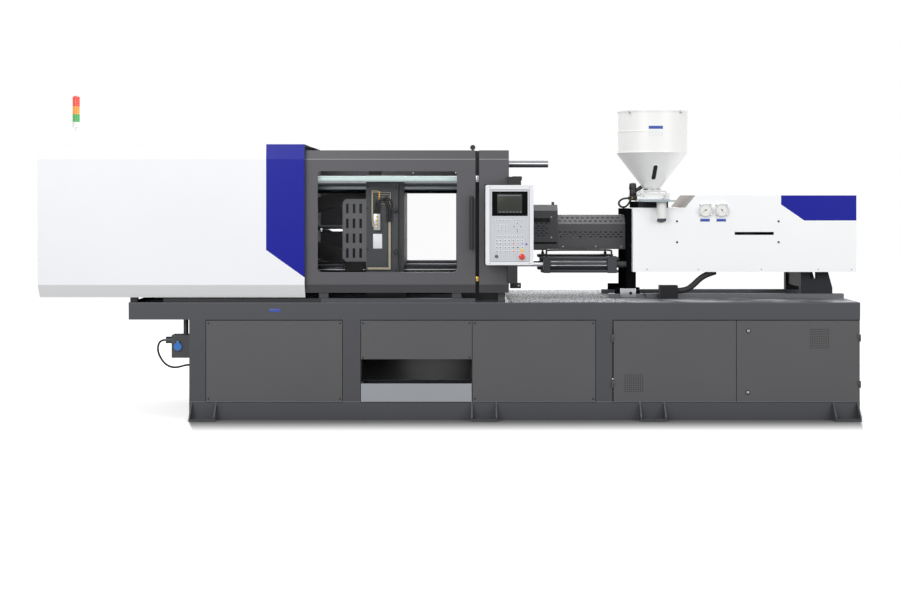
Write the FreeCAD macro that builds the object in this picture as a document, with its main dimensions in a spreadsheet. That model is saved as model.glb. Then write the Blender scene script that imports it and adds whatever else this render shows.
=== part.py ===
import FreeCAD, Part
import Sketcher
import math
import os
import re

# Horizontal injection moulding machine with a double toggle clamp.
# Millimetres, +Z up. X runs along the machine from the clamp to the injection
# end, and the operator stands at -Y. The origin is on the floor, below the
# middle of the machine.

os.makedirs("parts", exist_ok=True)
doc = FreeCAD.newDocument("injection_moulding_machine")
sheet = doc.addObject("Spreadsheet::Sheet", "Sizes")

driving = {
    # floor frame, from left to right
    "base_reach": 2242, "frame_half": 786, "base_height": 852, "rail_height": 149,
    "beam_depth": 100, "post_left": 139, "bay_one": 1167, "post_middle": 150,
    "bay_two": 951, "bay_three": 1052, "post_right": 140, "cabinet_bay": 2104,
    "top_rail": 80, "pan_depth": 22, "pan_wall": 2, "pan_gap": 5, "floor_plate": 6,
    "foot_width": 220, "foot_reach": 115, "foot_plate": 20, "foot_height": 155,
    "foot_web": 12, "hinge_radius": 8, "hinge_pin": 4, "hinge_stand": 9,
    "hinge_length": 30, "hinge_leaf": 14, "chute_back": 400, "chute_low": 172,
    "chute_high": 160, "chute_wall": 5, "anchor_radius": 13, "anchor_inset": 82, "foot_offset": 113,
    # bed
    "bed_depth": 146, "bed_overhang": 515, "bed_wall": 140, "way_inner": 300,
    "way_width": 140, "tread_length": 1040, "deck_plate": 5, "deck_inset": 16,
    "seam_run": 480, "deck_drop": 20,
    # clamp
    "axis_rise": 620, "tie_inset": 112, "tie_radius": 50, "running_gap": 0.08,
    "seat_gap": 0.3, "fixed_face": 90, "mould_gap": 514, "platen_size": 940,
    "fixed_thickness": 340, "moving_thickness": 330, "tail_thickness": 260,
    "platen_corner": 60, "ring_radius": 80, "ring_depth": 25, "nozzle_bore": 45,
    "nozzle_cone": 150, "inner_bolt": 140, "outer_bolt": 245, "bolt_radius": 10,
    "bolt_depth": 50, "nut_radius": 76, "nut_length": 90, "tie_stub": 20,
    # toggle
    "rear_link": 305, "front_link": 480, "rear_pin_rise": 405, "front_pin_rise": 320,
    "rest_angle": 50, "knee_reach": 250, "knee_offset": 60, "drive_link": 300,
    "drive_pin_rise": 85, "pin_radius": 35, "drive_pin_radius": 24, "eye_radius": 72,
    "knee_eye": 62, "drive_eye": 44, "front_inner": 62, "front_outer": 122,
    "rear_inner": 127, "rear_outer": 177, "arm_inner": 182, "arm_outer": 242,
    "clevis_reach": 95, "arm_reach": 458, "crosshead_length": 120,
    "crosshead_half": 120, "guide_radius": 20, "guide_offset": 90,
    "guide_stop": 6, "piston_rod": 40, "cylinder_radius": 125, "cylinder_length": 620,
    "cylinder_wall": 25, "ejector_thickness": 30, "ejector_gap": 60,
    "ejector_rod": 20, "ejector_offset": 105, "ejector_half": 150,
    "safety_radius": 32, "safety_rise": 574, "safety_reach": 432,
    # doors and covers
    "door_lap": 102, "door_width": 1453, "door_foot": 82, "door_height": 1213,
    "door_depth": 34, "fold_top": 78, "fold_low": 73, "fold_lean": 18,
    "window_right": 157, "window_left": 111, "window_low": 176, "window_high": 177,
    "window_corner": 30, "pane": 6, "pane_lap": 20, "handle_radius": 17,
    "handle_low": 367, "handle_length": 454, "handle_inset": 34, "handle_stand": 50,
    "rear_window": 795, "cover_length": 2262, "cover_proud": 48, "cover_rise": 50,
    "cover_drop": 40, "sheet_wall": 3, "cover_fold_top": 127, "cover_fold_low": 110,
    "cover_lean_low": 70, "cover_lean_top": 12, "guard_width": 253, "guard_gap": 32,
    "rail_deep": 36, "rail_gap": 12, "tube": 60, "low_rail": 34,
    "lamp_radius": 25, "lamp_drop": 66, "lamp_inset": 75,
    "side_plate": 28, "side_plate_high": 399, "side_plate_low": 384,
    "bracket_length": 205, "bracket_high": 260, "bracket_low": 286, "bracket_wall": 4,
    "slot_width": 23, "slot_height": 82, "slot_pitch": 58, "slot_rise": 129,
    # control panel
    "panel_width": 403, "panel_height": 673, "panel_depth": 70, "panel_low": 325,
    "panel_stand": 74, "panel_offset": 51, "panel_pivot": 244, "pivot_radius": 22,
    "pivot_bracket": 70, "stop_radius": 26, "stop_travel": 6,
    # injection unit
    "purge_length": 505, "purge_high": 207, "purge_low": 187, "guard_half": 212,
    "grille_length": 600, "grille_high": 117, "grille_fold": 80, "vent_width": 26,
    "vent_height": 9, "vent_pitch": 45, "vent_rise": 21, "vent_low": 82,
    "plate_width": 330, "plate_top": 172, "beam_drop": 354, "stock_thickness": 80,
    "barrel_radius": 75, "bore_radius": 36, "head_radius": 95, "head_length": 140,
    "nozzle_tip": 18, "band_wall": 20,
    "band_length": 140, "band_pitch": 175, "screw_radius": 24, "flight_radius": 35.9,
    "carriage_length": 1732, "beam_inner": 260, "beam_width": 70, "beam_height": 90,
    "rail_wide": 60, "rail_rise": 40, "rail_reach": 160, "jack_rise": 321,
    "jack_side": 266, "jack_radius": 50, "jack_block": 146, "jack_length": 507,
    "jack_head": 57, "jack_tail": 80, "jack_rod": 18, "jack_tie": 8,
    "cover_half": 425, "cover_run": 1955, "cover_top": 291, "cover_base": 379,
    "notch_drop": 110, "notch_run": 456, "notch_slope": 91, "cover_shift": 42,
    "thrust_thickness": 70, "thrust_place": 1050, "motor_radius": 130,
    "motor_length": 280, "feed_place": 264, "feed_half": 130, "feed_rise": 235,
    # hopper
    "outlet_place": 272, "outlet_length": 156, "outlet_side": 420, "outlet_height": 120,
    "nozzle_gap": 5, "nozzle_hole": 6, "head_gap": 50, "screw_gap": 40, "rail_inner": 270,
    "shoe_reach": 99, "shoe_height": 53, "saddle_length": 278, "saddle_flare": 47,
    "saddle_notch": 81, "notch_width": 60, "notch_depth": 90, "throat_radius": 40,
    "shot_radius": 62, "shot_length": 520, "shot_wall": 14, "shot_rod": 28, "shot_side": 215,
    "flight_pitch": 72, "flight_width": 8, "thrust_top": 160, "purge_bevel": 52,
    "jack_mount": 89, "hopper_radius": 319, "hopper_wall": 3, "neck_radius": 70, "neck_rise": 349,
    "cone_height": 325, "drum_height": 375, "lid_rise": 26, "slide_height": 60,
    "slide_half": 130, "slide_plate": 15, "slide_front": 560, "tube_radius": 42,
    "tube_length": 145, "tube_place": 480, "gauge_radius": 56, "gauge_depth": 28,
    "gauge_place": 633, "gauge_pitch": 142, "gauge_rise": 163,
    # signal light and connection box
    "lens_radius": 33, "lens_height": 68, "stem_radius": 11, "stem_height": 128,
    "light_inset": 240, "service_width": 171, "service_height": 196,
    "service_deep": 150, "service_rise": 513, "lid_radius": 34, "lid_knuckle": 10,
    "lid_barrel": 6, "lid_pin": 2,
}
for row, (alias, value) in enumerate(driving.items(), start=1):
    sheet.set(f"A{row}", alias)
    sheet.set(f"B{row}", str(value))
    sheet.setAlias(f"B{row}", alias)
doc.recompute()

aliasWord = re.compile(r"[a-z]+(?:_[a-z]+)*")


def bound(text):
    """Points every alias in a text at its cell in the sheet."""
    return aliasWord.sub(lambda word: "Sizes." + word.group(0) if word.group(0) in driving else word.group(0),
                         str(text))


def size(text):
    """The number that an expression of aliases comes to."""
    return float(sheet.evalExpression(str(text)))


def bind(item, name, text):
    item.setExpression(name, bound(text))


turned = {
    "x": FreeCAD.Rotation(FreeCAD.Vector(0, 1, 0), 90),
    "y": FreeCAD.Rotation(FreeCAD.Vector(1, 0, 0), -90),
    "z": FreeCAD.Rotation(),
}
planeNormal = {"xy": "z", "xz": "y", "yz": "x"}
nodes = []


def keep(item, label):
    """Names a finished piece of the machine."""
    item.Label = label
    nodes.append(item)
    return item


def block(name, x, y, z):
    """A bar with square edges, from pairs of low and high ends."""
    item = doc.addObject("Part::Box", name)
    for side, axis, (low, high) in zip(("Length", "Width", "Height"), "xyz", (x, y, z)):
        bind(item, side, f"({high}) - ({low})")
        bind(item, f"Placement.Base.{axis}", low)
    return item


def rod(name, axis, radius, ends, middle):
    """A round bar along one axis; middle holds its other two coordinates in order."""
    item = doc.addObject("Part::Cylinder", name)
    item.Placement = FreeCAD.Placement(FreeCAD.Vector(), turned[axis])
    bind(item, "Radius", radius)
    bind(item, "Height", f"({ends[1]}) - ({ends[0]})")
    bind(item, f"Placement.Base.{axis}", ends[0])
    for other, place in zip("xyz".replace(axis, ""), middle):
        bind(item, f"Placement.Base.{other}", place)
    return item


def cut(name, base, tools):
    """Takes tools away from a piece."""
    item = doc.addObject("Part::Cut", name)
    item.Base = base
    item.Tool = tools[0] if len(tools) == 1 else group(name + "Tools", tools)
    return item


def fuse(name, shapes):
    item = doc.addObject("Part::MultiFuse", name)
    item.Shapes = shapes
    item.Refine = True
    return item


def group(name, shapes):
    """Separate solids that share one node."""
    item = doc.addObject("Part::Compound", name)
    item.Links = shapes
    return item


def drawPolygon(sketch, points):
    """A closed outline whose corners all follow the sheet."""
    places = [FreeCAD.Vector(size(u), size(v), 0) for u, v in points]
    first = sketch.GeometryCount
    count = len(points)
    for index in range(count):
        line = Part.LineSegment(places[index], places[(index + 1) % count])
        sketch.addGeometry(line, False)
    for index in range(count):
        following = first + (index + 1) % count
        sketch.addConstraint(Sketcher.Constraint("Coincident", first + index, 2, following, 1))
    for index, corner in enumerate(points):
        for kind, text, value in zip(("DistanceX", "DistanceY"), corner, places[index]):
            mark = sketch.addConstraint(Sketcher.Constraint(kind, -1, 1, first + index, 1, value))
            sketch.setExpression(f"Constraints[{mark}]", bound(text))


def drawCircle(sketch, u, v, radius):
    middle = FreeCAD.Vector(size(u), size(v), 0)
    ring = sketch.addGeometry(Part.Circle(middle, FreeCAD.Vector(0, 0, 1), size(radius)), False)
    marks = (("DistanceX", u, middle.x), ("DistanceY", v, middle.y))
    for kind, text, value in marks:
        mark = sketch.addConstraint(Sketcher.Constraint(kind, -1, 1, ring, 3, value))
        sketch.setExpression(f"Constraints[{mark}]", bound(text))
    mark = sketch.addConstraint(Sketcher.Constraint("Radius", ring, size(radius)))
    sketch.setExpression(f"Constraints[{mark}]", bound(radius))


def startBody(name):
    return doc.addObject("PartDesign::Body", name)


def sketchOn(body, plane, name):
    """A sketch on one of a body's own origin planes."""
    sketch = body.newObject("Sketcher::SketchObject", name)
    role = plane.upper() + "_Plane"
    support = [item for item in body.Origin.OriginFeatures if item.Role == role]
    sketch.AttachmentSupport = [(support[0], "")]
    sketch.MapMode = "FlatFace"
    return sketch


def pad(name, plane, points, ends):
    """A body padded from one outline, between two places along its normal."""
    body = startBody(name)
    sketch = sketchOn(body, plane, name + "Outline")
    drawPolygon(sketch, points)
    feature = body.newObject("PartDesign::Pad", name + "Pad")
    feature.Profile = sketch
    feature.SideType = "Symmetric"
    bind(feature, "Length", f"({ends[1]}) - ({ends[0]})")
    bind(body, f"Placement.Base.{planeNormal[plane]}", f"(({ends[0]}) + ({ends[1]})) / 2")
    return body


def pocket(body, plane, name, draw):
    """Cuts right through a body where draw has sketched."""
    sketch = sketchOn(body, plane, name + "Outline")
    draw(sketch)
    feature = body.newObject("PartDesign::Pocket", name)
    feature.Profile = sketch
    feature.Type = "ThroughAll"
    feature.SideType = "Symmetric"
    return feature


def repeat(body, name, feature, steps):
    """Repeats a pocket in a grid: steps holds (axis, pitch, count) once or twice."""
    pattern = body.newObject("PartDesign::LinearPattern", name)
    pattern.Originals = [feature]
    for suffix, (axis, pitch, count) in zip(("", "2"), steps):
        setattr(pattern, "Direction" + suffix, (feature.Profile[0], [axis]))
        setattr(pattern, "Mode" + suffix, "Spacing")
        setattr(pattern, "Occurrences" + suffix, count)
        bind(pattern, "Offset" + suffix, pitch)
    body.Tip = pattern
    return pattern


def lathe(name, axis, points, places):
    """A turned piece. Each point is (along the axis, radius)."""
    body = startBody(name)
    sketch = sketchOn(body, "xz", name + "Outline")
    upright = axis == "z"
    drawPolygon(sketch, [(radius, along) for along, radius in points] if upright else points)
    feature = body.newObject("PartDesign::Revolution", name + "Turn")
    feature.Profile = sketch
    feature.ReferenceAxis = (sketch, ["V_Axis" if upright else "H_Axis"])
    feature.Angle = 360
    for side, place in zip("xyz", places):
        bind(body, f"Placement.Base.{side}", place)
    return body


def roundEdges(body, name, radius, choose):
    """Rounds the edges that choose picks by their two end points."""
    doc.recompute()
    solid = body.Tip
    picked = []
    for index, edge in enumerate(solid.Shape.Edges, start=1):
        if len(edge.Vertexes) == 2 and choose(edge.Vertexes[0].Point, edge.Vertexes[1].Point):
            picked.append(f"Edge{index}")
    feature = body.newObject("PartDesign::Fillet", name)
    feature.Base = (solid, picked)
    bind(feature, "Radius", radius)
    body.Tip = feature
    return feature


# Places along the machine that several pieces share.
baseLeft = "-base_reach"
postMiddle = f"{baseLeft} + post_left + bay_one"
bayTwo = f"{postMiddle} + post_middle"
bayThree = f"{bayTwo} + bay_two"
postRight = f"{bayThree} + bay_three"
cabinetLeft = f"{postRight} + post_right"
baseRight = f"{cabinetLeft} + cabinet_bay"
bedTop = "base_height + bed_depth"
deckTop = f"{bedTop} + deck_plate"
axisHeight = f"{bedTop} + axis_rise"
fixedBack = "fixed_face + fixed_thickness"
movingFace = "fixed_face - mould_gap"
movingBack = f"{movingFace} - moving_thickness"
frontPin = f"{movingBack} - clevis_reach"
restTurn = "rest_angle * 1 deg"
kneeAlong = f"rear_link * cos({restTurn})"
kneeHeight = f"rear_pin_rise - rear_link * sin({restTurn})"
kneeDrop = f"front_pin_rise - ({kneeHeight})"
toggleSpan = f"{kneeAlong} + sqrt(front_link ^ 2 - ({kneeDrop}) ^ 2)"
rearPin = f"{frontPin} - ({toggleSpan})"
tailFace = f"{rearPin} - arm_reach"
tailBack = f"{tailFace} - tail_thickness"
halfPlaten = "platen_size / 2"
barY = "(platen_size / 2 - tie_inset)"
cabinetDoor = "(cabinet_bay - 4 * pan_gap) / 2"
grilleLeft = f"{fixedBack} + purge_length"
stockLeft = f"{grilleLeft} + grille_length"
hingeLine = "-frame_half - hinge_stand"
hingeHeights = ("rail_height + (base_height - rail_height) * 0.22",
                "rail_height + (base_height - rail_height) * 0.78")


def across(side, inner, outer):
    """Low and high places across the machine for a distance range on one side."""
    return (f"-({outer})", f"-({inner})") if side < 0 else (inner, outer)


# Floor frame.

def makeFoot(name, middle, side):
    """A levelling foot: a holed plate between two sloping webs."""
    half = "foot_width / 2"
    reach = across(side, "frame_half", "frame_half + foot_reach")
    plate = block(name + "Plate", (f"{middle} - {half}", f"{middle} + {half}"), reach, ("0", "foot_plate"))
    hole = rod(name + "Hole", "z", "anchor_radius", ("-1", "foot_plate + 1"),
               (middle, f"{side} * (frame_half + anchor_inset)"))
    webs = []
    for index, low in enumerate((f"{middle} - {half}", f"{middle} + {half} - foot_web")):
        near, far = (f"{side} * frame_half", f"{side} * (frame_half + foot_reach)")
        outline = [(near, "foot_plate"), (far, "foot_plate"), (far, "foot_plate * 2"), (near, "foot_height")]
        webs.append(pad(f"{name}Web{index}", "yz", outline, (low, f"{low} + foot_web")))
    return [cut(name + "Drilled", plate, [hole])] + webs


def makeChute():
    """The sloping chute that brings moulded parts to the operator's side."""
    front, back = "-frame_half + beam_depth + 20", "frame_half - chute_back"
    low, high = "rail_height + chute_low", "base_height - chute_high"
    floor = [(front, low), (back, high), (back, f"{high} + chute_wall"), (front, f"{low} + chute_wall")]
    cheek = [(front, low), (back, high), (back, "base_height"), (front, "base_height")]
    inside = (f"{bayTwo} + chute_wall", f"{bayThree} - chute_wall")
    return [pad("chuteFloor", "yz", floor, inside),
            pad("chuteLeft", "yz", cheek, (bayTwo, f"{bayTwo} + chute_wall")),
            pad("chuteRight", "yz", cheek, (f"{bayThree} - chute_wall", bayThree))]


def makeBaseFrame():
    """The welded floor frame, with its feet and the chute for moulded parts."""
    width = ("-frame_half + beam_depth", "frame_half - beam_depth")
    topLow = "base_height - top_rail"
    members = []
    uprights = [
        (baseLeft, f"{baseLeft} + post_left", True),
        (postMiddle, bayTwo, True),
        (bayThree, f"{bayThree} + post_left", False),
        (postRight, cabinetLeft, True),
        (f"{baseRight} - post_left", baseRight, False),
    ]
    footMiddles = (f"{baseLeft} + foot_offset + foot_web", f"{bayThree} + beam_depth",
                   f"{cabinetLeft} + cabinet_bay * 0.16", f"{baseRight} - foot_offset - foot_web")
    for side, name in ((-1, "Front"), (1, "Rear")):
        beam = across(side, "frame_half - beam_depth", "frame_half")
        core = across(side, "frame_half - beam_depth", "frame_half - pan_depth")
        facing = across(side, "frame_half - pan_depth", "frame_half")
        members.append(block(f"rail{name}", (baseLeft, baseRight), beam, ("0", "rail_height")))
        members.append(block(f"topRail{name}", (baseLeft, baseRight), core, (topLow, "base_height")))
        for index, (low, high, flush) in enumerate(uprights):
            members.append(block(f"post{name}{index}", (low, high), core, ("rail_height", topLow)))
            if flush:
                members.append(block(f"postFace{name}{index}", (low, high), facing,
                                     ("rail_height", "base_height")))
        for index, middle in enumerate(footMiddles):
            members.append(fuse(f"foot{name}{index}", makeFoot(f"foot{name}{index}", middle, side)))
    for index, (low, high, flush) in enumerate(uprights):
        members.append(block(f"sleeper{index}", (low, high), width, ("0", "rail_height")))
        members.append(block(f"topSleeper{index}", (low, high), width, (topLow, "base_height")))
    members.append(block("floorPlate", (baseLeft, baseRight), width,
                         ("rail_height", "rail_height + floor_plate")))
    members.append(block("hingeStrip", (f"{baseRight} - pan_gap + 1", baseRight),
                         ("-frame_half", "-frame_half + pan_depth"), ("rail_height", "base_height")))
    for index, (edge, wide) in enumerate(((cabinetLeft, "hinge_leaf"), (baseRight, "(pan_gap - 1)"))):
        for height in hingeHeights:
            name = f"knuckle{index}{height[-2:]}"
            low = (f"{height} - hinge_length", height)
            leaf = (f"{edge} - {wide}", edge)
            knuckle = [rod(name, "z", "hinge_radius", low, (edge, hingeLine)),
                       block(name + "Leaf", leaf, (hingeLine, "-frame_half"), low),
                       rod(name + "Pin", "z", "hinge_pin", (height, f"{height} + hinge_length"),
                           (edge, hingeLine))]
            members.append(fuse(name + "Hinge", knuckle))
    return keep(group("baseFrame", members + makeChute()), "base_frame")


def makePan(name, ends, heights, side):
    """A folded sheet panel, open at the back."""
    outer = block(name + "Outer", ends, across(side, "frame_half - pan_depth", "frame_half"), heights)
    inner = block(name + "Inner", (f"{ends[0]} + pan_wall", f"{ends[1]} - pan_wall"),
                  across(side, "frame_half - pan_depth - 1", "frame_half - pan_wall"),
                  (f"{heights[0]} + pan_wall", f"{heights[1]} - pan_wall"))
    return cut(name, outer, [inner])


panLow = "rail_height + pan_gap + 3"
panHigh = "base_height - pan_gap - 4"


def makeSidePanels():
    """Five panels at the back and three at the front of the floor frame."""
    full = (panLow, panHigh)
    bays = [
        (f"{baseLeft} + post_left + pan_gap", f"{postMiddle} - pan_gap"),
        (f"{bayTwo} + pan_gap", f"{bayThree} - pan_gap / 2"),
        (f"{bayThree} + pan_gap / 2", f"{postRight} - pan_gap"),
        (f"{cabinetLeft} + pan_gap * 2", f"{cabinetLeft} + pan_gap * 2 + {cabinetDoor}"),
        (f"{baseRight} - pan_gap - {cabinetDoor}", f"{baseRight} - pan_gap"),
    ]
    pans = [makePan(f"rearPan{index}", bay, full, 1) for index, bay in enumerate(bays)]
    heights = (full, (f"{panHigh} - 327", panHigh), full)
    pans += [makePan(f"frontPan{index}", bays[index], heights[index], -1) for index in range(3)]
    width = ("-frame_half + beam_depth", "frame_half - beam_depth")
    pans.append(block("leftEnd", (f"{baseLeft} - sheet_wall", baseLeft), width, full))
    pans.append(block("rightEnd", (baseRight, f"{baseRight} + sheet_wall"), width, full))
    return keep(group("sidePanels", pans), "side_panels")


def makeScrapTray():
    """The galvanised bin below the chute, which pulls out towards the operator."""
    ends = (f"{bayTwo} + pan_gap", f"{bayThree} - pan_gap")
    low = "rail_height + floor_plate + seat_gap"
    outer = block("trayOuter", ends, ("-frame_half - 4", "-frame_half + 500"), (low, f"{low} + 154"))
    inner = block("trayInner", (f"{ends[0]} + sheet_wall", f"{ends[1]} - sheet_wall"),
                  ("-frame_half - 4 + sheet_wall", "-frame_half + 500 - sheet_wall"),
                  (f"{low} + sheet_wall", f"{low} + 160"))
    return keep(cut("scrapTray", outer, [inner]), "scrap_tray")


def makeCabinetDoors():
    left = (f"{cabinetLeft} + pan_gap * 2", f"{cabinetLeft} + pan_gap * 2 + {cabinetDoor}")
    right = (f"{baseRight} - pan_gap - {cabinetDoor}", f"{baseRight} - pan_gap")
    made = []
    for label, ends, edge in (("cabinet_door_left", left, cabinetLeft),
                              ("cabinet_door_right", right, baseRight)):
        name = label.title().replace("_", "")
        parts = [makePan(name + "Pan", ends, (panLow, panHigh), -1)]
        leafEnds = (f"{ends[1]} - hinge_leaf", edge)
        if label.endswith("left"):
            leafEnds = (edge, f"{ends[0]} + hinge_leaf")
        for height in hingeHeights:
            mark = name + height[-2:]
            up = (f"{height} + seat_gap", f"{height} + hinge_length")
            barrel = rod(mark + "Barrel", "z", "hinge_radius", up, (edge, hingeLine))
            bore = rod(mark + "Bore", "z", "hinge_pin + running_gap", (f"{height} - 1", f"{up[1]} + 1"),
                       (edge, hingeLine))
            leaf = block(mark + "Leaf", leafEnds, (hingeLine, "-frame_half"), up)
            parts.append(cut(mark + "Hinge", fuse(mark + "Arm", [barrel, leaf]), [bore]))
        made.append(keep(fuse(name, parts), label))
    return made


def makeCabinetGear():
    """The electrical mounting plate behind the two doors, with its larger devices."""
    left = f"{cabinetLeft} + 60"
    back = "-frame_half + 260"
    low = "rail_height + floor_plate"
    plate = block("gearPlate", (left, f"{baseRight} - post_left - 60"), (back, f"{back} + 4"),
                  (low, f"{low} + 560"))
    devices = [(0.04, 0.20, 0.10, 0.80, 190), (0.25, 0.36, 0.10, 0.62, 170), (0.42, 0.95, 0.62, 0.78, 80),
               (0.42, 0.70, 0.30, 0.50, 90), (0.75, 0.95, 0.10, 0.45, 140)]
    width = f"(cabinet_bay - post_left - 120)"
    parts = [plate]
    for index, (start, end, bottom, top, deep) in enumerate(devices):
        parts.append(block(f"device{index}", (f"{left} + {width} * {start}", f"{left} + {width} * {end}"),
                           (f"{back} - {deep}", back), (f"{low} + 560 * {bottom}", f"{low} + 560 * {top}")))
    return keep(group("cabinetGear", parts), "cabinet_gear")


def makeHydraulicUnit():
    """Oil tank behind the left panel, and the pump with its motor further right."""
    low = "rail_height + floor_plate"
    tank = block("tank", (f"{baseLeft} + post_left + 60", f"{postMiddle} - 60"),
                 ("-frame_half + 230", "frame_half - 230"), (low, f"{low} + 480"))
    filler = rod("filler", "z", "45", (f"{low} + 480", f"{low} + 530"),
                 (f"{baseLeft} + post_left + 200", "-200"))
    start = f"{bayThree} + 220"
    motor = rod("pumpMotor", "x", "120", (start, f"{start} + 360"), ("0", f"{low} + 190"))
    pump = rod("pump", "x", "70", (f"{start} + 360", f"{start} + 560"), ("0", f"{low} + 190"))
    cradle = block("pumpCradle", (f"{start} + 40", f"{start} + 320"), ("-110", "110"), (low, f"{low} + 120"))
    drive = fuse("pumpDrive", [motor, pump, cradle])
    return keep(group("hydraulicUnit", [fuse("oilTank", [tank, filler]), drive]), "hydraulic_unit")


# Bed.

bedLeft = f"{baseLeft} - bed_overhang"
bedRight = f"{baseRight} + 3"
wayRight = f"{fixedBack} + 40"


def makeBed():
    """The machine bed: outer rails, slideways under the platens, and cross beams."""
    inside = ("-frame_half + bed_wall", "frame_half - bed_wall")
    tall = ("base_height", bedTop)
    parts = []
    for side, name in ((-1, "Front"), (1, "Rear")):
        parts.append(block(f"bedRail{name}", (bedLeft, bedRight),
                           across(side, "frame_half - bed_wall", "frame_half"), tall))
        parts.append(block(f"slideway{name}", (bedLeft, wayRight),
                           across(side, "way_inner", "way_inner + way_width"),
                           ("base_height + deck_drop", bedTop)))
    beams = [(bedLeft, f"{bedLeft} + 100"), (tailBack, tailFace), ("fixed_face", wayRight),
             (f"{bedRight} - 120", bedRight)]
    for index, ends in enumerate(beams):
        parts.append(block(f"bedBeam{index}", ends, inside, ("base_height + deck_drop", bedTop)))
    parts.append(block("deck", (wayRight, f"{bedRight} - 120"), inside, (f"{bedTop} - deck_drop", bedTop)))
    return keep(fuse("bed", parts), "bed")


deckLeft = f"{wayRight} + 10"
seamOne = f"{deckLeft} + tread_length"


def makeDeckPlates():
    """Tread plate beside the barrel, two smooth plates further on, and the cable outlet box."""
    width = ("-frame_half + deck_inset", "frame_half - deck_inset")
    seams = [deckLeft, seamOne, f"{seamOne} + seam_run", f"{bedRight} - deck_inset"]
    plates = [block(f"deckPlate{index}", (f"{seams[index]} + 2", seams[index + 1]), width, (bedTop, deckTop))
              for index in range(3)]
    left = f"{stockLeft} + outlet_place"
    outlet = block("cableOutlet", (left, f"{left} + outlet_length"), ("-outlet_side - 55", "-outlet_side + 55"),
                   (deckTop, f"{deckTop} + outlet_height"))
    return keep(group("deckPlates", plates + [outlet]), "deck_plates")


# Clamp.

def platenBlank(name, ends):
    """A square platen with bevelled corners."""
    near, corner = halfPlaten, f"{halfPlaten} - platen_corner"
    points = [(f"-({corner})", f"-({near})"), (corner, f"-({near})"), (near, f"-({corner})"), (near, corner),
              (corner, near), (f"-({corner})", near), (f"-({near})", corner), (f"-({near})", f"-({corner})")]
    body = pad(name, "yz", points, ends)
    bind(body, "Placement.Base.z", axisHeight)
    return body


def barHoles(name, radius, ends):
    """Bores for the four tie bars."""
    return [rod(f"{name}{index}", "x", radius, ends, (f"{y} * {barY}", f"{axisHeight} + {z} * {barY}"))
            for index, (y, z) in enumerate(((-1, -1), (1, -1), (-1, 1), (1, 1)))]


def boltHoles(name, ends):
    """Two squares of tapped holes for fastening a mould."""
    holes = []
    for spread in ("inner_bolt", "outer_bolt"):
        for index, (y, z) in enumerate(((-1, -1), (1, -1), (-1, 1), (1, 1))):
            holes.append(rod(f"{name}{spread[:5]}{index}", "x", "bolt_radius", ends,
                             (f"{y} * {spread}", f"{axisHeight} + {z} * {spread}")))
    return holes


def platenFeet(name, ends, low):
    """Two feet that carry a platen on the slideways."""
    return [block(f"{name}{index}", ends, across(side, "way_inner", "way_inner + way_width"),
                  (low, f"{axisHeight} - {halfPlaten} + 5")) for index, side in enumerate((-1, 1))]


def makeFixedPlaten():
    ends = ("fixed_face", fixedBack)
    blank = platenBlank("fixedBlank", ends)
    crown = block("rodBracket", ("fixed_face + 60", "fixed_face + 180"), ("-70", "70"),
                  (f"{axisHeight} + {halfPlaten} - 5", f"{axisHeight} + safety_rise + safety_radius + 30"))
    solid = fuse("fixedCasting", [blank, crown] + platenFeet("fixedFoot", ends, bedTop) + makePurgeLedge())
    tools = barHoles("fixedBore", "tie_radius + seat_gap", (f"{ends[0]} - 1", f"{ends[1]} + 1"))
    tools += boltHoles("fixedTap", ("fixed_face - 1", "fixed_face + bolt_depth"))
    tools.append(rod("ringSeat", "x", "ring_radius", ("fixed_face - 1", "fixed_face + ring_depth"),
                     ("0", axisHeight)))
    recess = [("fixed_face + ring_depth - 1", "0"), (f"{fixedBack} + 1", "0"),
              (f"{fixedBack} + 1", "nozzle_cone"), ("fixed_face + ring_depth + 50", "nozzle_bore"),
              ("fixed_face + ring_depth - 1", "nozzle_bore")]
    tools.append(lathe("nozzleRecess", "x", recess, ("0", "0", axisHeight)))
    tools.append(rod("rodGuide", "x", "safety_radius + running_gap", ("fixed_face + 59", "fixed_face + 181"),
                     ("0", f"{axisHeight} + safety_rise")))
    return keep(cut("fixedPlaten", solid, tools), "fixed_platen")


def clevis(name, ends, inner, outer, pin, rise, side, level):
    """One arm of a clevis: a bar with a round end, bored for the pin."""
    low, high = across(side, inner, outer)
    height = f"{axisHeight} + {level} * {rise}"
    bar = block(f"{name}Bar", ends, (low, high), (f"{height} - eye_radius", f"{height} + eye_radius"))
    eye = rod(f"{name}Eye", "y", "eye_radius", (low, high), (pin, height))
    hole = rod(f"{name}Hole", "y", "pin_radius", (f"{low} - 1", f"{high} + 1"), (pin, height))
    return cut(name, fuse(f"{name}Solid", [bar, eye]), [hole])


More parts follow.
